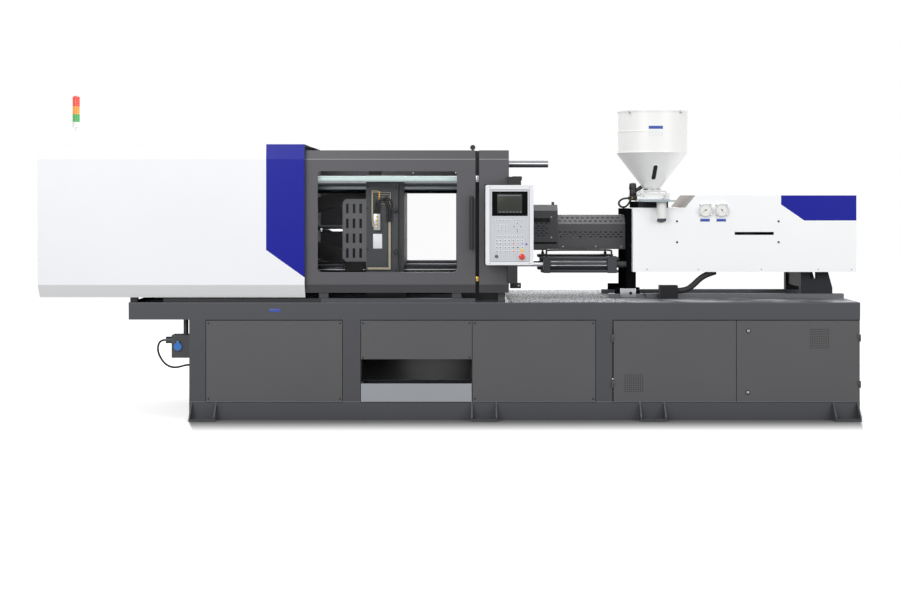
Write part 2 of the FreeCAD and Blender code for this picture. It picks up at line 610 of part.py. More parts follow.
def makeMovingPlaten():
    ends = (movingBack, movingFace)
    plate = fuse("movingCasting", [platenBlank("movingBlank", ends)]
                 + platenFeet("movingFoot", ends, f"{bedTop} + seat_gap"))
    ears = []
    for side in (-1, 1):
        for level in (-1, 1):
            ears.append(clevis(f"movingEar{side + 1}{level + 1}", (frontPin, movingBack), "rear_inner",
                               "rear_outer",
                               frontPin, "front_pin_rise", side, level))
    tools = barHoles("movingBore", "tie_radius + running_gap", (f"{ends[0]} - 1", f"{ends[1]} + 1"))
    tools += boltHoles("movingTap", (f"{movingFace} - bolt_depth", f"{movingFace} + 1"))
    for index, (y, z) in enumerate(((0, 0), (-1, -1), (1, -1), (-1, 1), (1, 1))):
        tools.append(rod(f"ejectorBore{index}", "x", "ejector_rod + running_gap",
                         (f"{ends[0]} - 1", f"{ends[1]} + 1"),
                         (f"{y} * ejector_offset", f"{axisHeight} + {z} * ejector_offset")))
    for side in (-1, 1):
        tools.append(rod(f"guideEntry{side + 1}", "x", "guide_radius + seat_gap * 3",
                         (f"{ends[0]} - 1", f"{ends[1]} - 25"), (f"{side} * guide_offset", axisHeight)))
    lug = block("rodLug", (movingBack, f"{movingBack} + 110"), ("-70", "70"),
                (f"{axisHeight} + {halfPlaten}", f"{axisHeight} + safety_rise + safety_radius + 30"))
    seat = rod("rodSeat", "x", "safety_radius", (f"{movingBack} - 1", f"{movingBack} + 111"),
               ("0", f"{axisHeight} + safety_rise"))
    solids = [cut("movingBored", plate, tools), cut("rodLugBored", lug, [seat])] + ears
    pins = [rod(f"frontPin{level + 1}", "y", "pin_radius", ("-rear_outer - 6", "rear_outer + 6"),
                (frontPin, f"{axisHeight} + {level} * front_pin_rise")) for level in (-1, 1)]
    return keep(group("movingPlaten", solids + pins), "moving_platen")


def makeTailPlaten():
    """The end casting: a deep plate with long arms that carry the rear links."""
    ends = (tailBack, tailFace)
    plate = fuse("tailCasting", [platenBlank("tailBlank", ends)] + platenFeet("tailFoot", ends, bedTop))
    arms = []
    for side in (-1, 1):
        for level in (-1, 1):
            arms.append(clevis(f"tailArm{side + 1}{level + 1}", (tailFace, rearPin), "arm_inner", "arm_outer",
                               rearPin, "rear_pin_rise", side, level))
    tools = barHoles("tailBore", "tie_radius + seat_gap", (f"{ends[0]} - 1", f"{ends[1]} + 1"))
    tools.append(rod("pistonBore", "x", "piston_rod + 6", (f"{ends[0]} - 1", f"{ends[1]} + 1"),
                     ("0", axisHeight)))
    for side in (-1, 1):
        tools.append(rod(f"guideSeat{side + 1}", "x", "guide_radius + seat_gap",
                         (f"{tailFace} - 120", f"{tailFace} + 1"),
                         (f"{side} * guide_offset", axisHeight)))
    casting = cut("tailBored", plate, tools)
    pins = [rod(f"rearPin{level + 1}", "y", "pin_radius", ("-arm_outer - 6", "arm_outer + 6"),
                (rearPin, f"{axisHeight} + {level} * rear_pin_rise")) for level in (-1, 1)]
    return keep(group("tailPlaten", [casting] + arms + pins), "tail_platen")


def makeTieBars():
    """Four tie bars with a nut beyond each end platen."""
    bars = []
    for index, (y, z) in enumerate(((-1, -1), (1, -1), (-1, 1), (1, 1))):
        points = [("0", "0"), ("0", "tie_radius"), ("tie_stub", "tie_radius"), ("tie_stub", "nut_radius"),
                  ("tie_stub + nut_length", "nut_radius"), ("tie_stub + nut_length", "tie_radius")]
        right = f"({fixedBack}) - ({tailBack}) + 2 * nut_length + 2 * tie_stub"
        points += [(f"{right} - tie_stub - nut_length", "tie_radius"),
                   (f"{right} - tie_stub - nut_length", "nut_radius"), (f"{right} - tie_stub", "nut_radius"),
                   (f"{right} - tie_stub", "tie_radius"), (right, "tie_radius"), (right, "0")]
        bars.append(lathe(f"tieBar{index}", "x", points,
                          (f"{tailBack} - nut_length - tie_stub", f"{y} * {barY}",
                           f"{axisHeight} + {z} * {barY}")))
    return keep(group("tieBars", bars), "tie_bars")


def makeClampCylinder():
    """The closing cylinder on the end casting, with the two rods that guide the crosshead."""
    points = [("0", "0"), ("0", "cylinder_radius"), ("-cylinder_length", "cylinder_radius"),
              ("-cylinder_length", "0")]
    shell = lathe("cylinderShell", "x", points, (tailBack, "0", axisHeight))
    flange = block("cylinderFlange", (f"{tailBack} - 45", tailBack),
                   ("-cylinder_radius - 35", "cylinder_radius + 35"),
                   (f"{axisHeight} - cylinder_radius - 35", f"{axisHeight} + cylinder_radius + 35"))
    bore = rod("cylinderBore", "x", "cylinder_radius - cylinder_wall",
               (f"{tailBack} - cylinder_length + 40", f"{tailBack} - 30"), ("0", axisHeight))
    gland = rod("cylinderGland", "x", "piston_rod + running_gap", (f"{tailBack} - 31", f"{tailBack} + 1"),
                ("0", axisHeight))
    barrel = cut("clampBarrel", fuse("cylinderCasting", [shell, flange]), [bore, gland])
    guides = [rod(f"guideRod{side + 1}", "x", "guide_radius",
                  (f"{tailFace} - 119", f"{movingBack} - guide_stop"),
                  (f"{side} * guide_offset", axisHeight)) for side in (-1, 1)]
    return keep(group("clampCylinder", [barrel] + guides), "clamp_cylinder")


# Where the crosshead stands at rest, worked out along the drive link.
kneePointX = (f"knee_reach * cos({restTurn}) - knee_offset * sin({restTurn})")
kneePointZ = (f"rear_pin_rise - knee_reach * sin({restTurn}) - knee_offset * cos({restTurn})")
drivePin = f"{rearPin} + {kneePointX} - sqrt(drive_link ^ 2 - ({kneePointZ} - drive_pin_rise) ^ 2)"


def makeCrosshead():
    """The crosshead on its guide rods, its four drive pins, and the piston rod behind it."""
    ends = (f"{drivePin} - crosshead_length / 2", f"{drivePin} + crosshead_length / 2")
    core = block("crossheadCore", ends, ("-crosshead_half", "crosshead_half"),
                 (f"{axisHeight} - drive_pin_rise - drive_eye", f"{axisHeight} + drive_pin_rise + drive_eye"))
    bores = [rod(f"crossheadBore{side + 1}", "x", "guide_radius + running_gap",
                 (f"{ends[0]} - 1", f"{ends[1]} + 1"),
                 (f"{side} * guide_offset", axisHeight)) for side in (-1, 1)]
    head = cut("crossheadBlock", core, bores)
    pins = [rod(f"drivePin{level + 1}", "y", "drive_pin_radius", ("-arm_outer - 4", "arm_outer + 4"),
                (drivePin, f"{axisHeight} + {level} * drive_pin_rise")) for level in (-1, 1)]
    rodBack = f"{tailBack} - cylinder_length / 2"
    piston = rod("piston", "x", "cylinder_radius - cylinder_wall - seat_gap", (f"{rodBack} - 40", rodBack),
                 ("0", axisHeight))
    shaft = rod("pistonShaft", "x", "piston_rod", (rodBack, f"{ends[0]} + 5"), ("0", axisHeight))
    return keep(fuse("crosshead", [head, piston, shaft] + pins), "crosshead")


def linkPlate(start, end, eyes, bores, faces):
    """A link plate between two eyes, with straight sides tangent to both."""
    length = start.distanceToPoint(end)
    lean = math.asin((eyes[0] - eyes[1]) / length)
    def rim(middle, radius, angle):
        return FreeCAD.Vector(middle + radius * math.cos(angle), 0, radius * math.sin(angle))
    upper = math.pi / 2 - lean
    edges = [
        Part.LineSegment(rim(0, eyes[0], upper), rim(length, eyes[1], upper)).toShape(),
        Part.Arc(rim(length, eyes[1], upper), rim(length, eyes[1], 0), rim(length, eyes[1], -upper)).toShape(),
        Part.LineSegment(rim(length, eyes[1], -upper), rim(0, eyes[0], -upper)).toShape(),
        Part.Arc(rim(0, eyes[0], -upper), rim(0, eyes[0], math.pi), rim(0, eyes[0], upper)).toShape(),
    ]
    plate = Part.Face(Part.Wire(edges)).extrude(FreeCAD.Vector(0, faces[1] - faces[0], 0))
    for middle, radius in zip((0, length), bores):
        if radius:
            base = FreeCAD.Vector(middle, -1, 0)
            plate = plate.cut(Part.makeCylinder(radius, faces[1] - faces[0] + 2, base, FreeCAD.Vector(0, 1, 0)))
    angle = math.degrees(math.atan2(start.z - end.z, end.x - start.x))
    plate.Placement = FreeCAD.Placement(FreeCAD.Vector(start.x, faces[0], start.z),
                                        FreeCAD.Rotation(FreeCAD.Vector(0, 1, 0), angle))
    return plate


def planes(inner, outer):
    """The two mirrored ranges across the machine that a pair of plates fills."""
    return [(-size(outer), -size(inner)), (size(inner), size(outer))]


def makeLinks():
    """The toggle's rear, front and drive links, above and below the axis."""
    running = size("running_gap")
    pin, drive = size("pin_radius"), size("drive_pin_radius")
    eye, knee, driveEye = size("eye_radius"), size("knee_eye"), size("drive_eye")
    shapes = {}
    for label, level in (("upper", 1), ("lower", -1)):
        def place(x, rise):
            return FreeCAD.Vector(size(x), 0, size(axisHeight) + level * size(rise))
        tail = place(rearPin, "rear_pin_rise")
        bend = place(f"{rearPin} + {kneeAlong}", kneeHeight)
        front = place(frontPin, "front_pin_rise")
        lever = place(f"{rearPin} + {kneePointX}", kneePointZ)
        head = place(drivePin, "drive_pin_rise")
        rear = []
        for faces in planes("rear_inner", "rear_outer"):
            plate = linkPlate(tail, bend, (eye, knee), (pin + running, 0), faces)
            horn = linkPlate(bend, lever, (knee * 0.9, driveEye), (0, 0), faces)
            rear.append(plate.fuse(horn))
        shapes["rear_link_" + label] = rear
        middle = [linkPlate(bend, front, (knee, eye), (0, pin + running), faces)
                  for faces in planes("front_inner", "front_outer")]
        shapes["front_link_" + label] = middle
        shapes["drive_link_" + label] = [linkPlate(head, lever, (driveEye, driveEye), (drive + running, 0),
                                                   faces)
                                         for faces in planes("arm_inner", "arm_outer - 4")]
    for label, solids in shapes.items():
        item = doc.addObject("Part::Feature", label.title().replace("_", ""))
        item.Shape = Part.makeCompound([solid.removeSplitter() for solid in solids])
        keep(item, label)


def makeEjector():
    """The ejector plate behind the moving platen and its five rods."""
    ends = (f"{movingBack} - ejector_gap - ejector_thickness", f"{movingBack} - ejector_gap")
    plate = block("ejectorPlate", ends, ("-ejector_half", "ejector_half"),
                  (f"{axisHeight} - ejector_half", f"{axisHeight} + ejector_half"))
    holes = [rod(f"ejectorClear{side + 1}", "x", "guide_radius + 5", (f"{ends[0]} - 1", f"{ends[1]} + 1"),
                 (f"{side} * guide_offset", axisHeight)) for side in (-1, 1)]
    rods = [rod(f"ejectorRod{index}", "x", "ejector_rod", (f"{ends[0]} + 5", f"{movingFace} - 10"),
                (f"{y} * ejector_offset", f"{axisHeight} + {z} * ejector_offset"))
            for index, (y, z) in enumerate(((0, 0), (-1, -1), (1, -1), (-1, 1), (1, 1)))]
    return keep(fuse("ejector", [cut("ejectorHoled", plate, holes)] + rods), "ejector")


def makeSafetyRod():
    """The mechanical safety bar that travels with the moving platen."""
    bar = rod("safetyRod", "x", "safety_radius", (movingBack, f"{fixedBack} + safety_reach"),
              ("0", f"{axisHeight} + safety_rise"))
    return keep(bar, "safety_rod")


sideFace = f"-({halfPlaten}) - side_plate"


def makePlatenSide():
    """The flat cover on the moving platen's near side, and the slotted bracket behind it."""
    heights = (f"{axisHeight} - side_plate_low", f"{axisHeight} + side_plate_high")
    cover = block("sidePlate", (f"{movingBack}", f"{movingFace} - 52"), (sideFace, f"-({halfPlaten})"), heights)
    left = f"{movingBack} - bracket_length"
    low, high = f"{axisHeight} - bracket_low", f"{axisHeight} + bracket_high"
    outline = [(left, f"{low} + 30"), (f"{left} + 30", low), (f"{movingBack} - seat_gap", low),
               (f"{movingBack} - seat_gap", high), (f"{left} + 30", high), (left, f"{high} - 30")]
    bracket = pad("slottedBracket", "xz", outline, (sideFace, f"{sideFace} + bracket_wall"))
    slotLeft, slotLow = f"{left} + 30", f"{low} + 34"

    def drawSlot(sketch):
        drawPolygon(sketch, [(slotLeft, slotLow), (f"{slotLeft} + slot_width", slotLow),
                             (f"{slotLeft} + slot_width", f"{slotLow} + slot_height"),
                             (slotLeft, f"{slotLow} + slot_height")])
    first = pocket(bracket, "xz", "bracketSlot", drawSlot)
    repeat(bracket, "bracketSlots", first, (("H_Axis", "slot_pitch", 3), ("V_Axis", "slot_rise", 4)))
    tab = block("bracketTab", (f"{movingBack} - bracket_wall - seat_gap", f"{movingBack} - seat_gap"),
                (sideFace, f"{sideFace} + 100"), (low, high))
    left = f"{movingFace} - 262"
    manifold = block("oilManifold", (left, f"{left} + 56"), (f"{sideFace} - 40", sideFace),
                     (f"{axisHeight} - 10", f"{axisHeight} + 130"))
    bent = fuse("slottedBracketBent", [bracket, tab])
    return keep(group("platenSide", [cover, bent, manifold]), "platen_side_plate")


def hose(points, radius):
    """A hose along straight runs joined by tangent arcs, as large as the runs allow."""
    corners = [FreeCAD.Vector(*point) for point in points]
    edges = []
    at = corners[0]
    radii = []
    for before, corner, after in zip(corners, corners[1:], corners[2:]):
        run = min(before.distanceToPoint(corner), corner.distanceToPoint(after)) * 0.45
        toward = (corner - before).normalize()
        away = (after - corner).normalize()
        half = toward.getAngle(away) / 2
        radii.append(run / math.tan(half))
        start, end = corner - toward * run, corner + away * run
        bulge = (away - toward).normalize()
        middle = corner + bulge * (radii[-1] / math.cos(half) - radii[-1])
        edges.append(Part.LineSegment(at, start).toShape())
        edges.append(Part.Arc(start, middle, end).toShape())
        at = end
    edges.append(Part.LineSegment(at, corners[-1]).toShape())
    path = Part.Wire(edges)
    ring = Part.Wire([Part.Circle(corners[0], corners[1] - corners[0], radius).toShape()])
    tube = path.makePipeShell([ring], True, False)
    expected = math.pi * radius ** 2 * path.Length
    print(f"hose radii {[round(value) for value in radii]} volume {tube.Volume / expected:.4f}")
    return tube


# Guards and doors.

doorRight = "fixed_face + door_lap"
doorLeft = f"{doorRight} - door_width"
doorLow = f"{bedTop} + door_foot"
doorTop = f"{doorLow} + door_height"
frameTop = f"{doorTop} - sheet_wall"
frameLow = f"{frameTop} - tube"
coverRight = f"{doorLeft} + 5"
coverLeft = f"{coverRight} - cover_length"
coverFace = "frame_half + cover_proud"
coverTop = f"{doorTop} + cover_rise"
coverLow = f"{doorLow} - cover_drop"
guardLeft = f"{doorRight} + guard_gap"
guardRight = f"{guardLeft} + guard_width"
tubeInner = "frame_half - door_depth - rail_gap - rail_deep / 2 - tube"
tubeOuter = "frame_half - door_depth - rail_gap - rail_deep / 2"


def makeGuardFrame():
    """The tube frame over the bed that carries the covers and the door rails."""
    parts = []
    posts = [(bedLeft, f"{bedLeft} + tube"), (f"{doorLeft} - tube * 1.5", f"{doorLeft} - tube / 2"),
             (f"{guardRight} - tube * 1.5", f"{guardRight} - tube / 2")]
    for side, name in ((-1, "Front"), (1, "Rear")):
        deep = across(side, tubeInner, tubeOuter)
        for index, ends in enumerate(posts):
            parts.append(block(f"guardPost{name}{index}", ends, deep, (bedTop, frameLow)))
        parts.append(block(f"guardBeam{name}", (f"{coverLeft} + 20", f"{guardRight} - tube / 2"), deep,
                           (frameLow, frameTop)))
        rail = across(side, tubeOuter, "frame_half - door_depth - rail_gap")
        parts.append(block(f"doorRail{name}", (f"{doorLeft} - door_width + 250", doorRight), rail,
                           (f"{frameLow} + 5", f"{frameTop} - 10")))
        for index, height in enumerate((f"{doorLow} + 120", f"{frameTop} - 300")):
            strut = across(side, tubeOuter, f"{coverFace} - sheet_wall")
            parts.append(block(f"coverStay{name}{index}", posts[0], strut, (height, f"{height} + tube")))
        for index, place in enumerate((f"{coverLeft} + 20", f"{bedLeft}", f"{coverRight} - tube - 40")):
            parts.append(block(f"roofStay{name}{index}", (place, f"{place} + tube"), deep,
                               (frameTop, f"{coverTop} - sheet_wall")))
    for index, place in enumerate((f"{coverLeft} + 20", bedLeft, posts[1][0], posts[2][0])):
        parts.append(block(f"topTie{index}", (place, f"{place} + tube"), (f"-({tubeInner})", tubeInner),
                           (frameLow, frameTop)))
    for side, name in ((-1, "Front"), (1, "Rear")):
        low = across(side, "frame_half - door_depth - rail_gap", "frame_half - 10")
        parts.append(block(f"floorRail{name}", (f"{doorLeft} - door_width + 250", doorRight), low,
                           (bedTop, f"{bedTop} + low_rail")))
    return keep(group("guardFrame", parts), "guard_frame")


def doorSection(side):
    """The folded section of a sliding door, seen along the machine."""
    face, back = "frame_half", "frame_half - door_depth"
    points = [(f"{face} - fold_lean", doorLow), (face, f"{doorLow} + fold_low"),
              (face, f"{doorTop} - fold_top"),
              (f"{face} - fold_lean", doorTop), (back, doorTop), (back, doorLow)]
    return [(f"{side} * ({y})", z) for y, z in points]


def makeSlidingDoor(label, side, windowLeft):
    """A sliding door with one large window, hung on the upper rail."""
    name = label.title().replace("_", "")
    left, right = windowLeft, f"{doorRight} - window_right"
    low, high = f"{doorLow} + window_low", f"{doorTop} - window_high"
    door = pad(name, "yz", doorSection(side), (doorLeft, doorRight))
    shift = f"(({doorLeft}) + ({doorRight})) / 2"

    def drawWindow(sketch):
        drawPolygon(sketch, [(f"{left} - ({shift})", low), (f"{right} - ({shift})", low),
                             (f"{right} - ({shift})", high), (f"{left} - ({shift})", high)])
    pocket(door, "xz", name + "Window", drawWindow)
    inside = [size(f"{left} - ({shift})"), size(f"{right} - ({shift})")]

    def windowCorner(first, second):
        along = abs(first.y - second.y) > 5 and abs(first.x - second.x) < 0.1
        return along and min(abs(first.x - place) for place in inside) < 0.1
    roundEdges(door, name + "Corners", "window_corner", windowCorner)
    shoes = []
    for index, place in enumerate((f"{doorLeft} + 120", f"{doorRight} - 200")):
        deep = across(side, "frame_half - door_depth - rail_gap + seat_gap", "frame_half - door_depth")
        shoes.append(block(f"{name}Hanger{index}", (place, f"{place} + 80"), deep,
                           (f"{doorTop} - fold_top", f"{doorTop} - 14")))
        shoes.append(block(f"{name}Shoe{index}", (place, f"{place} + 80"), deep,
                           (f"{bedTop} + low_rail + seat_gap", f"{doorLow} + 30")))
    return keep(fuse(name + "Hung", [door] + shoes), label)


def makePane(label, side, windowLeft):
    """The clear pane fixed behind a door's window."""
    back = across(side, "frame_half - door_depth - pane", "frame_half - door_depth")
    ends = (f"{windowLeft} - pane_lap", f"{doorRight} - window_right + pane_lap")
    heights = (f"{doorLow} + window_low - pane_lap", f"{doorTop} - window_high + pane_lap")
    return keep(block(label.title().replace("_", ""), ends, back, heights), label)


def makeDoorHandle():
    """The bar handle and the stop knob at the top of the operator's door."""
    x = f"{doorRight} - handle_inset"
    low = f"{doorLow} + handle_low"
    high = f"{low} + handle_length"
    y = "-frame_half - handle_stand"
    bar = rod("handleBar", "z", "handle_radius", (low, high), (x, y))
    feet = [rod(f"handleFoot{index}", "y", "handle_radius * 0.8", (y, "-frame_half"), (x, height))
            for index, height in enumerate((f"{low} + 25", f"{high} - 25"))]
    middle = f"{doorRight} - pivot_radius"
    knob = rod("doorKnob", "y", "pivot_radius", ("-frame_half + 19", "-frame_half + 33"),
               (middle, f"{doorTop} + pivot_radius + 2"))
    neck = block("knobNeck", (f"{middle} - 8", f"{middle} + 8"), ("-frame_half + 19", "-frame_half + 33"),
                 (doorTop, f"{doorTop} + 12"))
    return keep(group("doorFittings", [fuse("handle", [bar] + feet), fuse("stopKnob", [knob, neck])]),
                "door_handle")


def makeClampCovers():
    """Four sheets round the clamp: front, rear, roof and end."""
    face, lean = coverFace, f"{coverFace} - cover_lean_top"
    foot = f"{coverFace} - cover_lean_low"
    sheets = []
    for side, name in ((-1, "Front"), (1, "Rear")):
        outer = [(foot, coverLow), (face, f"{coverLow} + cover_fold_low"),
                 (face, f"{coverTop} - cover_fold_top"),
                 (lean, coverTop)]
        inner = [(f"{y} - sheet_wall", z) for y, z in reversed(outer)]
        points = [(f"{side} * ({y})", z) for y, z in outer + inner]
        sheets.append(pad(f"cover{name}", "yz", points, (coverLeft, coverRight)))
    half = f"{lean} - sheet_wall - 1"
    sheets.append(block("coverRoof", (coverLeft, coverRight), (f"-({half})", half),
                        (f"{coverTop} - sheet_wall", coverTop)))
    gap = "sheet_wall + seat_gap"
    right = [(f"{foot} - {gap}", coverLow), (f"{face} - {gap}", f"{coverLow} + cover_fold_low"),
             (f"{face} - {gap}", f"{coverTop} - cover_fold_top"), (f"{lean} - {gap}", f"{coverTop} - {gap}")]
    left = [(f"-({y})", z) for y, z in reversed(right)]
    sheets.append(pad("coverEnd", "yz", right + left, (coverLeft, f"{coverLeft} + sheet_wall")))
    return keep(group("clampCovers", sheets), "clamp_covers")


def makePlatenGuard():
    """The folded guard that bridges the fixed platen."""
    face = [("frame_half - fold_lean", doorLow), ("frame_half", f"{doorLow} + fold_low"),
            ("frame_half", f"{doorTop} - fold_top"), ("frame_half - fold_lean", doorTop)]
    inner = [(f"{y} - sheet_wall", z) for y, z in face[:3]] + [(f"{face[3][0]} - sheet_wall", frameTop)]
    outerRing = face + [(f"-({y})", z) for y, z in reversed(face)]
    innerRing = [(f"-({y})", z) for y, z in inner] + list(reversed(inner))
    return keep(pad("platenGuard", "yz", outerRing + innerRing, (guardLeft, guardRight)), "platen_guard")


def makeWorkLamp():
    """The tube lamp inside the door, on two straps from the upper beam."""
    y = f"-({tubeOuter}) + lamp_radius - 5"
    z = f"{doorTop} - window_high - lamp_drop"
    left, right = f"{doorLeft} + lamp_inset + 26", f"{doorRight} - lamp_inset * 1.8"
    tube = rod("lampTube", "x", "lamp_radius", (left, right), (y, z))
    straps = [block(f"lampStrap{index}", ends, (f"{y} - 10", f"{y} + 10"), (f"{z} - lamp_radius", frameLow))
              for index, ends in enumerate(((f"{left} - 8", left), (right, f"{right} + 8")))]
    return keep(fuse("workLamp", [tube] + straps), "work_lamp")


# Signal light, connection box, control panel.

lightX = f"{coverLeft} + light_inset"
lightY = "-frame_half + 300"
lensLow = f"{coverTop} + stem_height + 30"


def makeSignalLight():
    """The stem with its folding knuckle, and the stacked lenses on top."""
    foot = rod("lightFoot", "z", "35", (coverTop, f"{coverTop} + 12"), (lightX, lightY))
    knuckle = rod("lightKnuckle", "y", "26", (f"{lightY} - 14", f"{lightY} + 14"), (lightX, f"{coverTop} + 34"))
    stem = rod("lightStem", "z", "stem_radius", (f"{coverTop} + 10", lensLow), (lightX, lightY))
    cup = rod("lightCup", "z", "lens_radius", (lensLow, f"{lensLow} + 46"), (lightX, lightY))
    keep(fuse("lightPost", [foot, knuckle, stem, cup]), "signal_post")
    low = f"{lensLow} + 46"
    lenses = [rod(f"lens{index}", "z", "lens_radius - 1", (f"{low} + {index} * lens_height",
                                                           f"{low} + {index + 1} * lens_height"),
                                                           (lightX, lightY))
              for index in range(3)]
    points = [(f"0", "0"), ("0", "lens_radius"), ("12", "lens_radius"), ("24", "lens_radius * 0.6"),
              ("26", "0")]
    lenses.append(lathe("lensCap", "z", points, (lightX, lightY, f"{low} + 3 * lens_height")))
    return keep(group("signalLenses", lenses), "signal_lenses")


boxRight = f"{baseLeft} - sheet_wall"
boxLeft = f"{boxRight} - service_width"
boxFront = "-frame_half + 125"
boxBack = f"{boxFront} + service_deep"
lidX = f"{boxLeft} + 57"
lidZ = "service_rise + 99"
lidHinge = (f"{boxFront} - 15", f"{lidZ} + lid_radius + 8")


def makeServiceBox():
    """The connection box on the end of the floor frame, with its conduit and plug."""
    shell = block("boxShell", (boxLeft, boxRight), (boxFront, boxBack),
                  ("service_rise", "service_rise + service_height"))
    y = f"({boxFront} + {boxBack}) / 2"
    conduit = rod("boxConduit", "z", "22", ("service_rise + service_height", "base_height"),
                  (f"{boxRight} - 60", y))
    plug = rod("boxPlug", "x", "30", (f"{boxLeft} - 60", boxLeft), (y, "service_rise + 147"))
    seat = rod("lidSeat", "y", "lid_radius", (f"{boxFront} - 8", boxFront), (lidX, lidZ))
    pin = rod("lidPin", "x", "lid_pin", (f"{lidX} - lid_knuckle * 1.6", f"{lidX} + lid_knuckle * 1.6"),
              lidHinge)
    parts = [shell, conduit, plug, seat, pin]
    for side in (-1, 1):
        near, far = across(side, "lid_knuckle + seat_gap", "lid_knuckle * 1.6")
        ends = (f"{lidX} + {near}", f"{lidX} + {far}")
        parts.append(rod(f"lidEar{side + 1}", "x", "lid_barrel", ends, lidHinge))
        parts.append(block(f"lidStalk{side + 1}", ends, (lidHinge[0], boxFront),
                           (f"{lidHinge[1]} - lid_barrel", f"{lidHinge[1]} + lid_barrel")))
    return keep(fuse("serviceBox", parts), "service_box")


def makeServiceLid():
    """The round spring lid over the socket, hinged along its top."""
    deep = (f"{boxFront} - 22", f"{boxFront} - 8 - seat_gap")
    wide = (f"{lidX} - lid_knuckle", f"{lidX} + lid_knuckle")
    lid = rod("lidDisc", "y", "lid_radius", deep, (lidX, lidZ))
    tab = block("lidTab", wide, deep, (f"{lidZ} + lid_radius - 8", lidHinge[1]))
    barrel = rod("lidBarrel", "x", "lid_barrel", wide, lidHinge)
    bore = rod("lidBore", "x", "lid_pin + running_gap", (f"{wide[0]} - 1", f"{wide[1]} + 1"), lidHinge)
    return keep(cut("serviceLid", fuse("lidSolid", [lid, tab, barrel]), [bore]), "service_lid")


def makeServiceCable():
    """The cable that loops from the plug back into the floor frame."""
    left, y = size(boxLeft), size(f"({boxFront} + {boxBack}) / 2")
    plug = size("service_rise + 147")
    right = size(boxRight)
    points = [(left - 60, y, plug), (left - 100, y, plug), (left - 128, y, plug - 36),
              (left - 134, y, plug - 90), (left - 112, y, plug - 150), (left - 72, y, plug - 206),
              (left - 12, y, plug - 238), (left + 52, y, plug - 234), (left + 112, y, plug - 214),
              (right, y, plug - 214)]
    item = doc.addObject("Part::Feature", "ServiceCable")
    item.Shape = hose(points, 9)
    return keep(item, "service_cable")


panelLeft = f"{guardLeft} + panel_offset"
panelRight = f"{panelLeft} + panel_width"
panelLow = f"{bedTop} + panel_low"
panelTop = f"{panelLow} + panel_height"
panelBack = "-frame_half - panel_stand"
panelFront = f"{panelBack} - panel_depth"
pivotX = f"{panelLeft} + panel_pivot"
pivotY = f"{panelBack} - panel_depth / 2"


def makeControlPanel():
    """The panel housing, with a shallow tray for the screen and sockets for its pivots."""
    body = pad("controlPanel", "xz", [(panelLeft, panelLow), (panelRight, panelLow), (panelRight, panelTop),
                                      (panelLeft, panelTop)], (panelFront, panelBack))

    def outerCorner(first, second):
        return abs(first.y - second.y) > 5
    roundEdges(body, "panelCorners", "14", outerCorner)
    sockets = [rod(f"panelSocket{index}", "z", "pivot_radius + running_gap", ends, (pivotX, pivotY))
               for index, ends in enumerate(((f"{panelLow} - 1", f"{panelLow} + 40"),
                                             (f"{panelTop} - 40", f"{panelTop} + 1")))]
    tray = block("screenTray", (f"{panelLeft} + 54", f"{panelRight} - 49"),
                 (f"{panelFront} - 1", f"{panelFront} + 4"),
                 (f"{panelTop} - 260", f"{panelTop} - 54"))
    stem = rod("stopBore", "y", "11 + running_gap", (f"{panelFront} - 1", f"{panelFront} + 30"), (stopX, stopZ))
    return keep(cut("panelHousing", body, sockets + [tray, stem]), "control_panel")


stopX = f"{panelLeft} + 305"
stopZ = f"{panelLow} + 71"


def makePanelScreen():
    screen = block("panelScreen", (f"{panelLeft} + 54.3", f"{panelRight} - 49.3"),
                   (f"{panelFront}", f"{panelFront} + 4"),
                   (f"{panelTop} - 259.7", f"{panelTop} - 54.3"))
    return keep(screen, "panel_screen")


def makeStopButton():
    """The mushroom button for an emergency stop."""
    points = [("0", "0"), ("0", "11"), ("22 + stop_travel", "11"), ("22 + stop_travel", "stop_radius * 0.8"),
              ("26 + stop_travel", "stop_radius"), ("34 + stop_travel", "stop_radius * 0.9"),
              ("38 + stop_travel", "stop_radius * 0.55"), ("39 + stop_travel", "0")]
    body = lathe("stopButton", "x", points, (stopX, f"{panelFront} + 21", stopZ))
    body.Placement = FreeCAD.Placement(body.Placement.Base, FreeCAD.Rotation(FreeCAD.Vector(0, 0, 1), -90))
    return keep(body, "stop_button")


def makePanelArm():
    """Two brackets on the platen guard, each with a pivot pin for the panel."""
    left = f"{guardRight} - 17"
    y = (f"{pivotY} - pivot_radius - 6", "-frame_half")
    top = block("armTop", (left, f"{pivotX} + 55"), y, (f"{panelTop} + 1", f"{panelTop} + pivot_bracket"))
    low = block("armLow", (left, f"{pivotX} + 25"), y, (f"{panelLow} - 2.2 * pivot_bracket", f"{panelLow} - 1"))
    pins = [rod("armPinTop", "z", "pivot_radius", (f"{panelTop} - 38", f"{panelTop} + 5"), (pivotX, pivotY)),
            rod("armPinLow", "z", "pivot_radius", (f"{panelLow} - 5", f"{panelLow} + 38"), (pivotX, pivotY))]
    return keep(group("panelArm", [fuse("armUpper", [top, pins[0]]), fuse("armLower", [low, pins[1]])]),
                "panel_arm")


def makePlatenHoses():
    """Three hoses that rise from the oil manifold and fold down behind the side cover."""
    face = size(sideFace)
    left = size(f"{movingFace}") - 262
    z = size(axisHeight)
    hoses = []
    for index, offset in enumerate((12, 30, 46)):
        x = left + offset
        hoses.append(hose([(x, face - 20, z + 130), (x, face - 20, z + 180),
                           (x + 4, face - 24, z + 230 + 8 * index),
                           (x + 40 + 14 * index, face - 26, z + 262 + 10 * index),
                           (x + 90 + 10 * index, face - 24, z + 236), (x + 104, face - 20, z + 180),
                           (x + 106, face - 20, z + 120), (x + 104, face - 18, z + 60)], 8))
    item = doc.addObject("Part::Feature", "PlatenHoses")
    item.Shape = Part.makeCompound(hoses)
    return keep(item, "platen_hoses")


# Injection unit.

